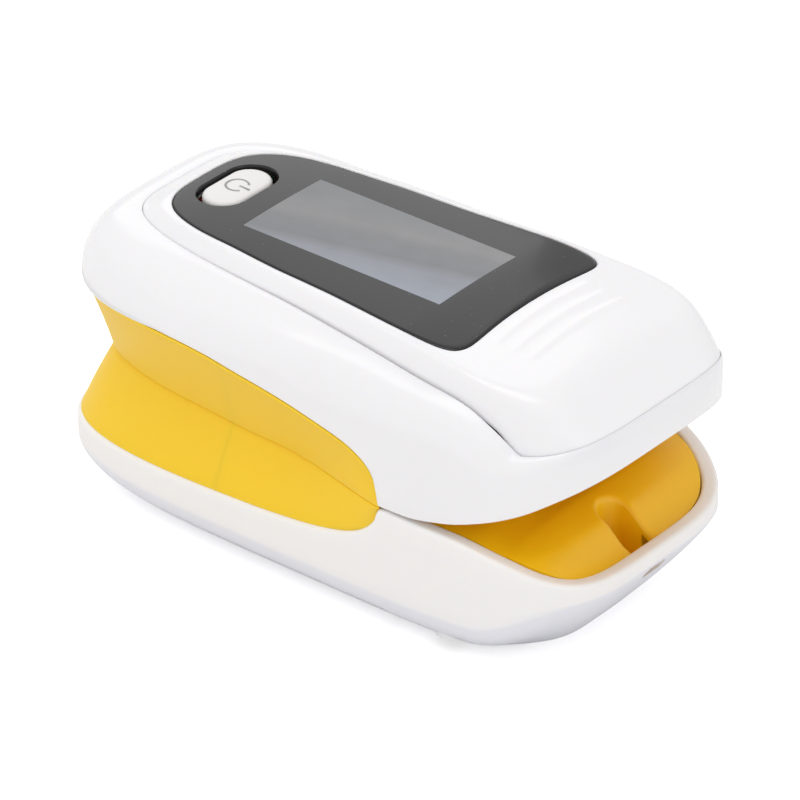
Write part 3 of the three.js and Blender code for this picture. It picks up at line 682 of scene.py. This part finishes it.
def add_ear(piece, side, base_z, half_base, radius, y0, y1):
    """A hinge ear with its bore, joined to a liner."""
    up = 1 if base_z < PIVOT[2] else -1
    turns = np.linspace(0, np.pi, 25)
    round_end = [(PIVOT[0] + radius * math.cos(t), PIVOT[2] + up * radius * math.sin(t))
                 for t in turns]
    shape = np.array([(PIVOT[0] + half_base, base_z), *round_end, (PIVOT[0] - half_base, base_z)])
    sides = [np.column_stack([shape[:, 0], np.full(len(shape), side * y), shape[:, 1]])
             for y in (y0, y1)]
    boolean(piece, loft("ear", sides), "UNION")
    span = sorted((side * (y0 - 0.2), side * (y1 + 0.2)))
    bore = turned("eye", [(span[0], 1.12), (span[1], 1.12)], (PIVOT[0], 0, PIVOT[2]), "y", 40)
    boolean(piece, bore)


def sleeve(name, chosen):
    """Part of the soft folded sleeve between the shells. Its section is a V lying on its side."""
    low, high = outline(LOWER, ANGLES), outline(UPPER, ANGLES)
    low_in, high_in = inward(low), inward(high)
    rings = []
    for i in np.flatnonzero(chosen):
        x, edge_x = low[i, 0], high[i, 0]
        heights = (float(LOWER_EDGE(x)), float(UPPER_EDGE(edge_x)), float(CREASE_HEIGHT(x)))
        rings.append(sleeve_section(low[i], low_in[i], high[i], high_in[i], float(CREASE_INSET(x)),
                                    *heights))
    return loft(name, rings, fan=False)


def sleeve_section(low_point, low_in, high_point, high_in, crease, low, high, fold):
    """One closed section of the sleeve: down the outer face to the fold, on down, and back inside."""
    room = high - low
    lip = min(0.4, room * 0.12)
    skin = min(1.0, room * 0.25)

    def spot(share, inset, z):
        base = low_point + (high_point - low_point) * share
        direction = low_in + (high_in - low_in) * share
        return (*(base + direction * inset), z)

    top_inset = 0.1 + lip * 0.6
    points = [
        spot(1, 0.06, high - 0.03),
        spot(1, 0.05, high - lip * 0.8),
        spot(1, 0.12, high - lip),
        spot(1, top_inset, high - lip * 1.15),
    ]
    for s in (0.25, 0.5, 0.75, 0.93):
        bow = 0.12 * math.sin(math.pi * s) * min(1, crease)
        points.append(spot(1 - s / 2, top_inset + (crease - top_inset) * s + bow,
                           high - lip * 1.15 + (fold + 0.12 - high + lip * 1.15) * s))
    points += [spot(0.5, crease + 0.06, fold + 0.08), spot(0.5, crease + 0.2, fold),
               spot(0.5, crease + 0.05, fold - 0.08)]
    foot_inset = 0.42
    for s in (0.07, 0.25, 0.5, 0.75, 0.92):
        bow = -0.1 * math.sin(math.pi * s) * min(1, crease)
        points.append(spot(0.5 - s / 2, crease + (foot_inset - crease) * s + bow,
                           fold - 0.12 + (low + 0.12 - fold + 0.12) * s))
    points += [spot(0, 0.36, low + 0.04), spot(0, 0.4, low - 0.05), spot(0, 0.4 + skin, low - 0.05)]
    points += [spot(0.5, crease + skin, fold), spot(1, 0.3 + skin, high - 0.03)]
    return np.array(points)


def roof_under(x, y):
    """Height of the underside of the roof over the finger."""
    edge = np.minimum(UPPER_EDGE(x), 22.3) + 0.3
    share = np.minimum(1, (np.abs((x - UPPER[0]) / 29.8) ** 4 + np.abs(y / 14.8) ** 4) ** 0.25)
    return edge + (21.2 - edge) * (1 - share ** 4)


def roof_liner():
    """The roof with its finger stop, board posts, openings and hinge ears."""
    edge = outline(UPPER, ANGLES)
    inset = WALL + 0.15 + 1.1 * smooth(-6, -14, edge[:, 0])
    rim = edge + inward(edge) * inset[:, None]
    rings = []
    for s in np.linspace(0.02, 1, 40):
        points = LINER_MIDDLE + (rim - LINER_MIDDLE) * s
        rings.append(ring(points, roof_under(*points.T)))
    for s in np.linspace(1, 0.02, 20):
        points = LINER_MIDDLE + (rim - LINER_MIDDLE) * s
        rings.append(ring(points, roof_under(*points.T) + 0.9))
    liner = loft("roof_liner", rings)
    cut_openings(liner, 19, 24)
    boolean(liner, block((-6.4, -7.4, 16.2), (-5.4, 7.4, 21.7)), "UNION")
    for number in range(1, 5):
        low, high = box_mm(f"board_screw_{number}")
        x, y = (low[:2] + high[:2]) / 2
        start = float(roof_under(x, y)) + 0.4
        post = turned("post", [(start, 1.9), (23.8, 1.9)], (x, y, 0), "z", 32)
        boolean(liner, post, "UNION")
        boolean(liner, turned("bore", [(17, 0.8), (25, 0.8)], (x, y, 0), "z", 24))
    for side in (-1, 1):
        add_ear(liner, side, 22.2, 3.8, 2.0, 9.9, 11.5)
    return liner


def battery_cell(name):
    """A cell with its crimped negative end and its raised positive button."""
    low, high = box_mm(name)
    middle = (low + high) / 2
    half, radius = (high[0] - low[0]) / 2, (high[2] - low[2]) / 2
    shape = [(-half, 1.0), (-half, radius - 1.4), (-half + 0.1, radius - 0.9)]
    shape += [(-half + 0.35, radius - 0.5), (-half + 0.4, radius - 0.1), (-half + 0.6, radius), (half - 2.1, radius)]
    shape += [(half - 1.9, radius - 0.12), (half - 1.7, radius - 0.4), (half - 1.3, radius - 0.8)]
    shape += [(half - 1.1, 2.4), (half - 1.05, 1.95), (half - 0.2, 1.9), (half - 0.05, 1.75)]
    shape.append((half, 1.4))
    return turned(f"{name}_cell", shape, middle, "x", 72)


def torsion_coil(name, side):
    """A closing spring round the hinge pin, with a leg at each end."""
    low = box_mm(name)[0]
    radius = 1.68
    coils = 4.5
    turns = np.linspace(0, coils, 150)
    angle = -np.pi / 2 + turns * 2 * np.pi
    y = side * (4.4 + 2.8 * turns / coils)
    coil = np.stack([PIVOT[0] + radius * np.cos(angle), y, PIVOT[2] + radius * np.sin(angle)], 1)
    leg_x = low[0] + 0.2
    start = np.linspace((leg_x, coil[0, 1], coil[0, 2] - 0.05), coil[0], 16)[:-1]
    end = np.linspace(coil[-1], (leg_x, coil[-1, 1], coil[-1, 2] + 2.9), 16)[1:]
    return wire(f"{name}_wire", np.vstack([start, coil, end]), 0.34)


def machine_screw(name):
    """A pan-head screw with a cross recess."""
    low, high = box_mm(name)
    middle = (low + high) / 2
    up = name.startswith("case")
    head_z = low[2] if up else high[2]
    way = 1 if up else -1
    shape = [(0, 0.75), (0.1, 1.05), (0.3, 1.25), (0.75, 1.3), (0.8, 0.72)]
    for turn in np.arange(1.1, 4.5, 0.16):
        shape.append((turn, 0.72 if int(round(turn / 0.16)) % 2 else 0.58))
    shape += [(5.0, 0.2)]
    origin = (middle[0], middle[1], head_z)
    piece = turned(f"{name}_screw", [(way * a, r) for a, r in shape], origin, "z", 40)
    for wide, long in ((0.16, 0.75), (0.75, 0.16)):
        low_z, high_z = sorted((head_z - way * 0.1, head_z + way * 0.45))
        start = (middle[0] - wide, middle[1] - long, low_z)
        boolean(piece, block(start, (middle[0] + wide, middle[1] + long, high_z)))
    return piece


# ------------------------------------------------------------------ finishes
def fill(tree, sockets, values):
    """Links each named socket to another socket, or sets it to a plain value."""
    for label, value in values.items():
        if isinstance(value, bpy.types.NodeSocket):
            tree.links.new(value, sockets[label])
        else:
            sockets[label].default_value = value


def add(tree, kind, inputs=None, **settings):
    """Adds a shader node, with its settings first and then its inputs."""
    item = tree.nodes.new(f"ShaderNode{kind}")
    for name, value in settings.items():
        setattr(item, name, value)
    fill(tree, item.inputs, inputs or {})
    return item


def object_place(tree):
    return add(tree, "TexCoord").outputs["Object"]


def remap(tree, value, spans, **settings):
    """Maps a value between two spans: (from low, from high, to low, to high)."""
    labels = ("From Min", "From Max", "To Min", "To Max")
    inputs = {"Value": value, **dict(zip(labels, spans))}
    return add(tree, "MapRange", inputs, **settings).outputs["Result"]


def mix_colors(tree, share, first, second, **settings):
    inputs = {"Factor": share, "A": first, "B": second}
    return add(tree, "Mix", inputs, data_type="RGBA", **settings).outputs["Result"]


def noise(tree, place, scale, detail):
    inputs = {"Vector": place, "Scale": scale, "Detail": detail}
    return add(tree, "TexNoise", inputs).outputs["Fac"]


def ramp(tree, value, tones, interpolation="LINEAR"):
    """A colour ramp with a tone at each of the given spots."""
    item = add(tree, "ValToRGB", {"Fac": value})
    item.color_ramp.interpolation = interpolation
    elements = item.color_ramp.elements
    while len(elements) < len(tones):
        elements.new(0.5)
    for element, (spot, tone) in zip(elements, tones):
        element.position = spot
        element.color = (*tone, 1)
    return item.outputs["Color"]


def new_group(name, inputs, outputs):
    """An empty node group, with the sockets that enter it and the ones that leave it."""
    group = bpy.data.node_groups.new(name, "ShaderNodeTree")
    for label, kind, value in inputs:
        socket = group.interface.new_socket(label, in_out="INPUT", socket_type=f"NodeSocket{kind}")
        if value is not None:
            socket.default_value = value
    for label, kind in outputs:
        group.interface.new_socket(label, in_out="OUTPUT", socket_type=f"NodeSocket{kind}")
    entry, leave = group.nodes.new("NodeGroupInput"), group.nodes.new("NodeGroupOutput")
    return group, entry.outputs, leave.inputs


def moulded_group():
    """Fine moulding texture: a slow drift of tone, and small bumps as a height."""
    group, entry, leave = new_group(
        "Moulded surface",
        [("Color", "Color", None), ("Shade", "Color", None), ("Drift", "Float", 0.3),
         ("Roughness", "Float", 0.3), ("Roughness Spread", "Float", 0.05),
         ("Grain Scale", "Float", 4000.0)],
        [("Color", "Color"), ("Roughness", "Float"), ("Height", "Float")])
    place = object_place(group)
    drift = noise(group, place, 55, 3)
    share = add(group, "Math", {0: drift, 1: entry["Drift"]}, operation="MULTIPLY").outputs[0]
    grain = noise(group, place, entry["Grain Scale"], 4)
    spread = {0: grain, 1: entry["Roughness Spread"], 2: entry["Roughness"]}
    roughness = add(group, "Math", spread, operation="MULTIPLY_ADD").outputs[0]
    color = mix_colors(group, share, entry["Color"], entry["Shade"])
    fill(group, leave, {"Color": color, "Roughness": roughness, "Height": grain})


def dust_group():
    """Sparse specks of dust and faint smears, as masks from 0 to 1."""
    group, entry, leave = new_group(
        "Dust and smears", [("Speck Scale", "Float", 900.0), ("Amount", "Float", 0.5)],
        [("Mask", "Float"), ("Smear", "Float")])
    place = object_place(group)
    cells = add(group, "TexVoronoi", {"Vector": place, "Scale": entry["Speck Scale"]})
    speck = remap(group, cells.outputs["Distance"], (0.05, 0.02, 0, 1))
    mask = add(group, "Math", {0: speck, 1: entry["Amount"]}, operation="MULTIPLY").outputs[0]
    smear = add(group, "TexNoise", {"Vector": place, "Scale": 120, "Distortion": 1.5})
    fill(group, leave, {"Mask": mask, "Smear": smear.outputs["Fac"]})


def new_material(name):
    """A material, its node tree and the inputs of its shader."""
    material = bpy.data.materials.new(name)
    material.use_nodes = True
    tree = material.node_tree
    return material, tree, tree.nodes["Principled BSDF"].inputs


def surface_nodes(tree, inputs):
    return add(tree, "Group", inputs, node_tree=bpy.data.node_groups["Moulded surface"]).outputs


def dust_nodes(tree):
    return add(tree, "Group", node_tree=bpy.data.node_groups["Dust and smears"]).outputs


def moulded(name, color, shade, roughness, bump=0.05, coat=0.0, scatter=0.0, grain=4000.0,
            under=None):
    """A moulded plastic or rubber: tone drift, fine grain and, if asked, a soft glow of light inside.

    The tone named under is painted shade, taken on by the faces that look down.
    """
    material, tree, shader = new_material(name)
    surface = surface_nodes(tree, {
        "Color": (*color, 1), "Shade": (*shade, 1), "Drift": 0.3, "Roughness": roughness,
        "Roughness Spread": 0.05, "Grain Scale": grain})
    base = surface["Color"]
    # painted shade: faces that look down are mixed towards the under tone
    if under:
        base = painted_underside_shade(tree, base, under)
    relief = {"Strength": bump, "Distance": 0.00005, "Height": surface["Height"]}
    fill(tree, shader, {
        "Base Color": base, "Roughness": surface["Roughness"], "Coat Weight": coat,
        "Coat Roughness": 0.08, "Normal": add(tree, "Bump", relief).outputs["Normal"]})
    if scatter:
        fill(tree, shader, {"Subsurface Weight": scatter, "Subsurface Radius": (1.0, 0.75, 0.5),
                            "Subsurface Scale": 0.0008})
    return material


def painted_underside_shade(tree, color, under):
    """Paints shade: mixes a colour towards a shade tone where the surface looks down."""
    normal = add(tree, "NewGeometry").outputs["Normal"]
    height = add(tree, "SeparateXYZ", {"Vector": normal}).outputs["Z"]
    share = remap(tree, height, (0.05, -0.3, 0, 1), interpolation_type="SMOOTHSTEP")
    return mix_colors(tree, share, color, (*under, 1))


def smoked_material(name, color):
    """Dark gloss acrylic with a little dust on it."""
    material, tree, shader = new_material(name)
    dust = dust_nodes(tree)
    fill(tree, shader, {
        "Base Color": mix_colors(tree, dust["Mask"], (*color, 1), (0.5, 0.5, 0.5, 1)),
        "Roughness": remap(tree, dust["Smear"], (0, 1, 0.1, 0.2)),
        "Coat Weight": 0.1, "Coat Roughness": 0.04, "Specular IOR Level": 0.36})
    return material


def metal(name, color, roughness, scale):
    material, tree, shader = new_material(name)
    surface = surface_nodes(tree, {
        "Color": (*color, 1), "Shade": (*(c * 0.8 for c in color), 1), "Roughness": roughness,
        "Roughness Spread": 0.15, "Grain Scale": scale})
    fill(tree, shader, {"Base Color": surface["Color"], "Roughness": surface["Roughness"],
                        "Metallic": 1.0})
    return material


def clear_lens(name):
    material, tree, shader = new_material(name)
    fill(tree, shader, {
        "Base Color": (0.9, 0.93, 0.95, 1), "Transmission Weight": 1.0, "IOR": 1.49,
        "Roughness": remap(tree, dust_nodes(tree)["Smear"], (0, 1, 0.0, 0.06))})
    return material


def painted_reflection_display_material(name):
    """Grey display glass with painted reflections: soft slanting bands of tone."""
    material, tree, shader = new_material(name)
    place = object_place(tree)
    slant = add(tree, "Mapping", {"Vector": place, "Rotation": (0, 0, math.radians(-14))})
    across = add(tree, "SeparateXYZ", {"Vector": slant.outputs["Vector"]}).outputs["Y"]
    # painted reflections: slanting bands of bluish, light and dark grey across the glass
    tones = [(0.0, (0.26, 0.285, 0.335)), (0.3, (0.22, 0.235, 0.27)), (0.42, (0.15, 0.155, 0.17)),
             (0.62, (0.16, 0.162, 0.17)), (0.72, (0.19, 0.19, 0.195)), (1.0, (0.15, 0.155, 0.165))]
    bands = ramp(tree, remap(tree, across, (-0.0075, 0.0065, 0, 1)), tones)
    mottle = noise(tree, place, 260, 5)
    fill(tree, shader, {
        "Base Color": mix_colors(tree, 0.25, bands, mottle, blend_type="SOFT_LIGHT"),
        "Roughness": remap(tree, mottle, (0, 1, 0.1, 0.22)),
        "Coat Weight": 0.15, "Coat Roughness": 0.05})
    return material


def circuit_material(name):
    """Green solder mask with a brick pattern of tracks."""
    material, tree, shader = new_material(name)
    bricks = add(tree, "TexBrick", {
        "Vector": object_place(tree), "Scale": 420, "Mortar Size": 0.03,
        "Color1": (0.02, 0.16, 0.06, 1), "Color2": (0.025, 0.2, 0.08, 1),
        "Mortar": (0.05, 0.3, 0.13, 1)}).outputs
    relief = {"Strength": 0.2, "Distance": 0.00003, "Height": bricks["Fac"]}
    fill(tree, shader, {"Base Color": bricks["Color"], "Roughness": 0.35,
                        "Normal": add(tree, "Bump", relief).outputs["Normal"]})
    return material


def cell_material(name):
    """A printed sleeve with a plain band at the positive end."""
    material, tree, shader = new_material(name)
    along = add(tree, "SeparateXYZ", {"Vector": object_place(tree)}).outputs["X"]
    tones = [(0.0, (0.05, 0.12, 0.32)), (0.78, (0.62, 0.62, 0.6))]
    bands = ramp(tree, remap(tree, along, (-0.023, 0.022, 0, 1)), tones, "CONSTANT")
    fill(tree, shader, {"Base Color": bands, "Roughness": 0.3, "Metallic": 0.2})
    return material


# ------------------------------------------------------------------ settings
class OximeterColours(bpy.types.PropertyGroup):
    """Colours of the visible finishes."""

    upper_white: bpy.props.FloatVectorProperty(
        name="Upper white", description="Colour of the upper casing and its panel",
        subtype="COLOR", size=3, min=0, max=1, default=(0.9, 0.89, 0.905))
    lower_white: bpy.props.FloatVectorProperty(
        name="Lower white", description="Colour of the lower casing and the battery door",
        subtype="COLOR", size=3, min=0, max=1, default=(0.92, 0.9, 0.885))
    sleeve_yellow: bpy.props.FloatVectorProperty(
        name="Sleeve yellow", description="Colour of the soft folded sleeve",
        subtype="COLOR", size=3, min=0, max=1, default=(0.98, 0.62, 0.006))
    cradle_yellow: bpy.props.FloatVectorProperty(
        name="Cradle yellow", description="Colour of the finger cradle and roof",
        subtype="COLOR", size=3, min=0, max=1, default=(1.0, 0.58, 0.004))
    window_dark: bpy.props.FloatVectorProperty(
        name="Window", description="Colour of the smoked window",
        subtype="COLOR", size=3, min=0, max=1, default=(0.013, 0.013, 0.0135))


class OximeterStudio(bpy.types.PropertyGroup):
    """Camera and light of the studio."""

    lens: bpy.props.FloatProperty(
        name="Lens", description="Focal length of the camera in millimetres",
        default=274.0, min=20, max=500)
    distance: bpy.props.FloatProperty(
        name="Distance", description="Distance from the camera to the middle of the device",
        default=0.58, min=0.2, max=3, unit="LENGTH")
    azimuth: bpy.props.FloatProperty(
        name="Azimuth", description="How far round the camera stands from the device's side",
        default=math.radians(39.1), subtype="ANGLE")
    elevation: bpy.props.FloatProperty(
        name="Elevation", description="How high the camera stands",
        default=math.radians(31.0), subtype="ANGLE")
    sky: bpy.props.FloatProperty(
        name="Sky light", description="Strength of the even light from all round", default=0.79, min=0)
    key: bpy.props.FloatProperty(
        name="Key light", description="Power of the large light overhead, in watts", default=1.5, min=0)


# ------------------------------------------------------------------ operators
class BuildFinishes(bpy.types.Operator):
    """Makes the node groups and the materials"""

    bl_idname = "oximeter.finishes"
    bl_label = "Finishes"

    def execute(self, context):
        moulded_group()
        dust_group()
        colours = context.scene.oximeter_colours

        def darker(color, share):
            return tuple(c * share for c in color)

        upper, lower = tuple(colours.upper_white), tuple(colours.lower_white)
        sleeve_yellow, cradle = tuple(colours.sleeve_yellow), tuple(colours.cradle_yellow)
        moulded("Gloss white", upper, darker(upper, 0.97), 0.18, bump=0.02, coat=0.35, scatter=0.15)
        # painted shade: the lower casing's faces that look down turn bluish grey
        moulded("Satin white", lower, darker(lower, 0.96), 0.3, bump=0.05, coat=0.1, scatter=0.15,
                under=(0.8, 0.8, 0.85))
        moulded("Button white", (0.82, 0.8, 0.785), (0.78, 0.765, 0.75), 0.32, bump=0.05)
        moulded("Symbol grey", (0.3, 0.3, 0.31), (0.34, 0.34, 0.35), 0.4)
        moulded("Cradle yellow", cradle, darker(cradle, 0.9), 0.36, bump=0.08, scatter=0.25)
        # painted shade: the sleeve's faces that look down, the upper fold, turn a darker gold
        moulded("Sleeve yellow", sleeve_yellow, darker(sleeve_yellow, 0.93), 0.42, bump=0.12,
                scatter=0.3, grain=2600.0, under=(0.91, 0.58, 0.02))
        moulded("Matt black", (0.02, 0.02, 0.022), (0.03, 0.03, 0.032), 0.55, bump=0.1)
        moulded("Amber film", (0.45, 0.2, 0.04), (0.35, 0.15, 0.03), 0.3)
        moulded("Display face", (0.16, 0.165, 0.18), (0.12, 0.125, 0.14), 0.12, bump=0.0, coat=1.0)
        smoked_material("Smoked pane", tuple(colours.window_dark))
        painted_reflection_display_material("Display glass painted reflections")
        metal("Plated steel", (0.62, 0.62, 0.62), 0.24, 1500.0)
        clear_lens("Clear lens")
        circuit_material("Circuit board")
        cell_material("Cell sleeve")
        return {"FINISHED"}


def material_of(name):
    return bpy.data.materials[name]


class BuildUpperShell(bpy.types.Operator):
    """Makes the upper casing and the saddle panel on it"""

    bl_idname = "oximeter.upper_shell"
    bl_label = "Upper casing and panel"

    def execute(self, context):
        white = material_of("Gloss white")
        finish(upper_casing(), "upper_jaw", "upper_white", white, "upper_shell")
        finish(panel_cover(), "upper_jaw", "upper_white", white, "top_panel")
        return {"FINISHED"}


class BuildWindow(bpy.types.Operator):
    """Makes the smoked window, its display lens and the display under it"""

    bl_idname = "oximeter.window"
    bl_label = "Window and display"

    def execute(self, context):
        pane = window_pane()
        boolean(pane, block(SCREEN_LOW, SCREEN_HIGH))
        finish(pane, "upper_jaw", "smoked_window", material_of("Smoked pane"), "display_window")
        finish(display_lens(), "upper_jaw", "display_glass", material_of("Display glass painted reflections"))
        face = rounded_block("display_face", GLASS_LOW, GLASS_HIGH, 0.12)
        finish(face, "upper_jaw", "display_glass", material_of("Display face"), "display_module")
        return {"FINISHED"}


def display_lens():
    """The grey glass over the display, flush with the smoked pane."""
    x0, y0, x1, y1 = (*np.add(SCREEN_LOW[:2], SCREEN_GAP), *np.subtract(SCREEN_HIGH[:2], SCREEN_GAP))
    xs, ys = np.linspace(x0, x1, 49), np.linspace(y0, y1, 25)[1:-1]
    edge = np.array([*((x, y0) for x in xs), *((x1, y) for y in ys),
                     *((x, y1) for x in xs[::-1]), *((x0, y) for y in ys[::-1])])
    centre = edge.mean(0)
    rings = []
    back = [(share, PANE_THICKNESS) for share in (0.05, 0.5, 1)]
    for share, drop in back + [(share, 0) for share in (1, 0.8, 0.5, 0.25, 0.05)]:
        points = centre + (edge - centre) * share
        rings.append(ring(points, top_height(points[:, 0], points[:, 1]) - drop))
    return loft("display_lens", rings)


class BuildButton(bpy.types.Operator):
    """Makes the power button's cap and the symbol on it"""

    bl_idname = "oximeter.button"
    bl_label = "Power button"

    def execute(self, context):
        white = material_of("Button white")
        finish(button_cap(), "power_button", "button_white", white, "power_button")
        for piece in power_symbol():
            finish(piece, "power_button", "button_white", material_of("Symbol grey"))
        return {"FINISHED"}


class BuildLowerShell(bpy.types.Operator):
    """Makes the lower casing and the battery door"""

    bl_idname = "oximeter.lower_shell"
    bl_label = "Lower casing and door"

    def execute(self, context):
        white = material_of("Satin white")
        finish(lower_casing(), "lower_jaw", "lower_white", white, "lower_shell")
        finish(door_cover(), "battery_door", "lower_white", white, "battery_door")
        return {"FINISHED"}


class BuildLiners(bpy.types.Operator):
    """Makes the yellow finger cradle and the roof over it"""

    bl_idname = "oximeter.liners"
    bl_label = "Cradle and roof"

    def execute(self, context):
        yellow = material_of("Cradle yellow")
        finish(finger_cradle(), "lower_jaw", "yellow_plastic", yellow, "lower_liner")
        finish(roof_liner(), "upper_jaw", "yellow_plastic", yellow, "upper_liner")
        return {"FINISHED"}


class BuildSleeve(bpy.types.Operator):
    """Makes the soft folded sleeve that closes the gap between the jaws"""

    bl_idname = "oximeter.sleeve"
    bl_label = "Soft sleeve"

    def execute(self, context):
        yellow = material_of("Sleeve yellow")
        x, y = outline(LOWER, ANGLES).T
        rear = x < PIVOT[0]
        front = (x > x[rear].max() - 0.05) & (x < TIP_X - 0.03)
        crease = np.array([PIVOT[0], 0, float(CREASE_HEIGHT(PIVOT[0]))])
        across = np.array([0.02, 0, 1.0]) * 0.15
        fold = (crease - across, crease + across)
        whole = ((PIVOT[0], 0, 7.9), (PIVOT[0], 0, 22.9))
        parts = [("sleeve_rear", rear, whole), ("sleeve_left", front & (y > 0), fold),
                 ("sleeve_right", front & (y < 0), fold)]
        for name, chosen, (start, end) in parts:
            piece = sleeve(name, chosen)
            piece.data.materials.append(yellow)
            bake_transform(piece)
            if name == "sleeve_rear":
                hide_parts("upper_skirt", "lower_skirt")
        return {"FINISHED"}


class BuildInside(bpy.types.Operator):
    """Makes the cells, springs and screws, and gives the other inner pieces their finishes"""

    bl_idname = "oximeter.inside"
    bl_label = "Inner pieces"

    def execute(self, context):
        steel = material_of("Plated steel")
        for side, name in ((1, "left"), (-1, "right")):
            cell = f"battery_{name}"
            finish(battery_cell(cell), "lower_jaw", "cell_wrap", material_of("Cell sleeve"), cell)
            spring = f"torsion_spring_{name}"
            finish(torsion_coil(spring, side), "lower_jaw", "steel", steel, spring)
        for number in range(1, 5):
            for kind, body in (("case", "lower_jaw"), ("board", "upper_jaw")):
                screw = f"{kind}_screw_{number}"
                finish(machine_screw(screw), body, "steel", steel, screw)
        finishes = {
            "steel": "Plated steel", "circuit_board": "Circuit board", "black_plastic": "Matt black",
            "flex_film": "Amber film", "clear_lens": "Clear lens", "display_glass": "Display face",
            "cell_wrap": "Cell sleeve", "yellow_plastic": "Cradle yellow",
            "yellow_silicone": "Sleeve yellow", "upper_white": "Gloss white",
            "lower_white": "Satin white", "smoked_window": "Smoked pane",
            "button_white": "Button white"}
        slots = {part["node"]: part["material_slot"] for part in frame["record"]["subparts"]}
        for name, node in frame["nodes"].items():
            node.data.materials.clear()
            node.data.materials.append(material_of(finishes[slots[name]]))
        return {"FINISHED"}


class BuildStage(bpy.types.Operator):
    """Makes the floor, the lights and the camera"""

    bl_idname = "oximeter.stage"
    bl_label = "Studio"

    def execute(self, context):
        studio = context.scene.oximeter_studio
        signs = ((-1, -1), (1, -1), (1, 1), (-1, 1))
        floor = build("floor", [(x * FLOOR_REACH, y * FLOOR_REACH, 0) for x, y in signs],
                      [(0, 1, 2, 3)])
        material, tree, shader = new_material("Pale floor")
        seen = add(tree, "LightPath").outputs["Is Camera Ray"]
        fill(tree, shader, {
            "Base Color": (0.93, 0.93, 0.93, 1), "Roughness": 0.9, "Emission Color": (1, 1, 1, 1),
            "Emission Strength": remap(tree, seen, (0, 1, 0, FLOOR_GLOW))})
        floor.data.materials.append(material)
        world = context.scene.world or bpy.data.worlds.new("Studio")
        context.scene.world = world
        world.use_nodes = True
        sky = world.node_tree.nodes["Background"]
        sky.inputs["Color"].default_value = (1, 1, 1, 1)
        sky.inputs["Strength"].default_value = studio.sky
        for name, place, size, watts in (("key", (-0.1, -0.25, 0.75), 0.6, studio.key),
                                         ("rim", (-0.6, 0.5, 0.5), 0.5, studio.key * 0.35),
                                         ("fill", (0.75, -0.15, 0.22), 0.45, studio.key * 0.3)):
            lamp = bpy.data.lights.new(name, "AREA")
            lamp.size = size
            lamp.energy = watts
            stand = bpy.data.objects.new(name, lamp)
            stand.location = place
            stand.rotation_euler = (-Vector(place)).to_track_quat("-Z", "Y").to_euler()
            context.scene.collection.objects.link(stand)
        place_camera(context, studio)
        context.scene.view_settings.view_transform = "Standard"
        return {"FINISHED"}


def place_camera(context, studio):
    lens = bpy.data.cameras.new("camera")
    lens.lens = studio.lens
    lens.sensor_width = 36
    lens.shift_x = 0.0025
    camera = bpy.data.objects.new("camera", lens)
    around, up = studio.azimuth, studio.elevation
    back = Vector((math.sin(around) * math.cos(up), -math.cos(around) * math.cos(up), math.sin(up)))
    camera.location = Vector((0, 0, 0.014)) + back * studio.distance
    camera.rotation_euler = back.to_track_quat("Z", "Y").to_euler()
    context.scene.collection.objects.link(camera)
    context.scene.camera = camera


OPERATORS = [BuildFinishes, BuildUpperShell, BuildWindow, BuildButton, BuildLowerShell, BuildLiners,
             BuildSleeve, BuildInside, BuildStage]


class OximeterPanel(bpy.types.Panel):
    """Lists the pieces that can be built, with their colours"""

    bl_idname = "VIEW3D_PT_oximeter"
    bl_label = "Fingertip pulse oximeter"
    bl_space_type = "VIEW_3D"
    bl_region_type = "UI"
    bl_category = "Oximeter"

    def draw(self, context):
        for group in (context.scene.oximeter_colours, context.scene.oximeter_studio):
            for name in group.__annotations__:
                self.layout.prop(group, name)
        for operator in OPERATORS:
            self.layout.operator(operator.bl_idname)


CLASSES = [OximeterColours, OximeterStudio, *OPERATORS, OximeterPanel]


def register():
    for item in CLASSES:
        bpy.utils.register_class(item)
    bpy.types.Scene.oximeter_colours = bpy.props.PointerProperty(type=OximeterColours)
    bpy.types.Scene.oximeter_studio = bpy.props.PointerProperty(type=OximeterStudio)


def unregister():
    del bpy.types.Scene.oximeter_studio
    del bpy.types.Scene.oximeter_colours
    for item in reversed(CLASSES):
        bpy.utils.unregister_class(item)


def main():
    register()
    for operator in OPERATORS:
        group, name = operator.bl_idname.split(".")
        getattr(getattr(bpy.ops, group), name)()


if __name__ == "__main__":
    main()
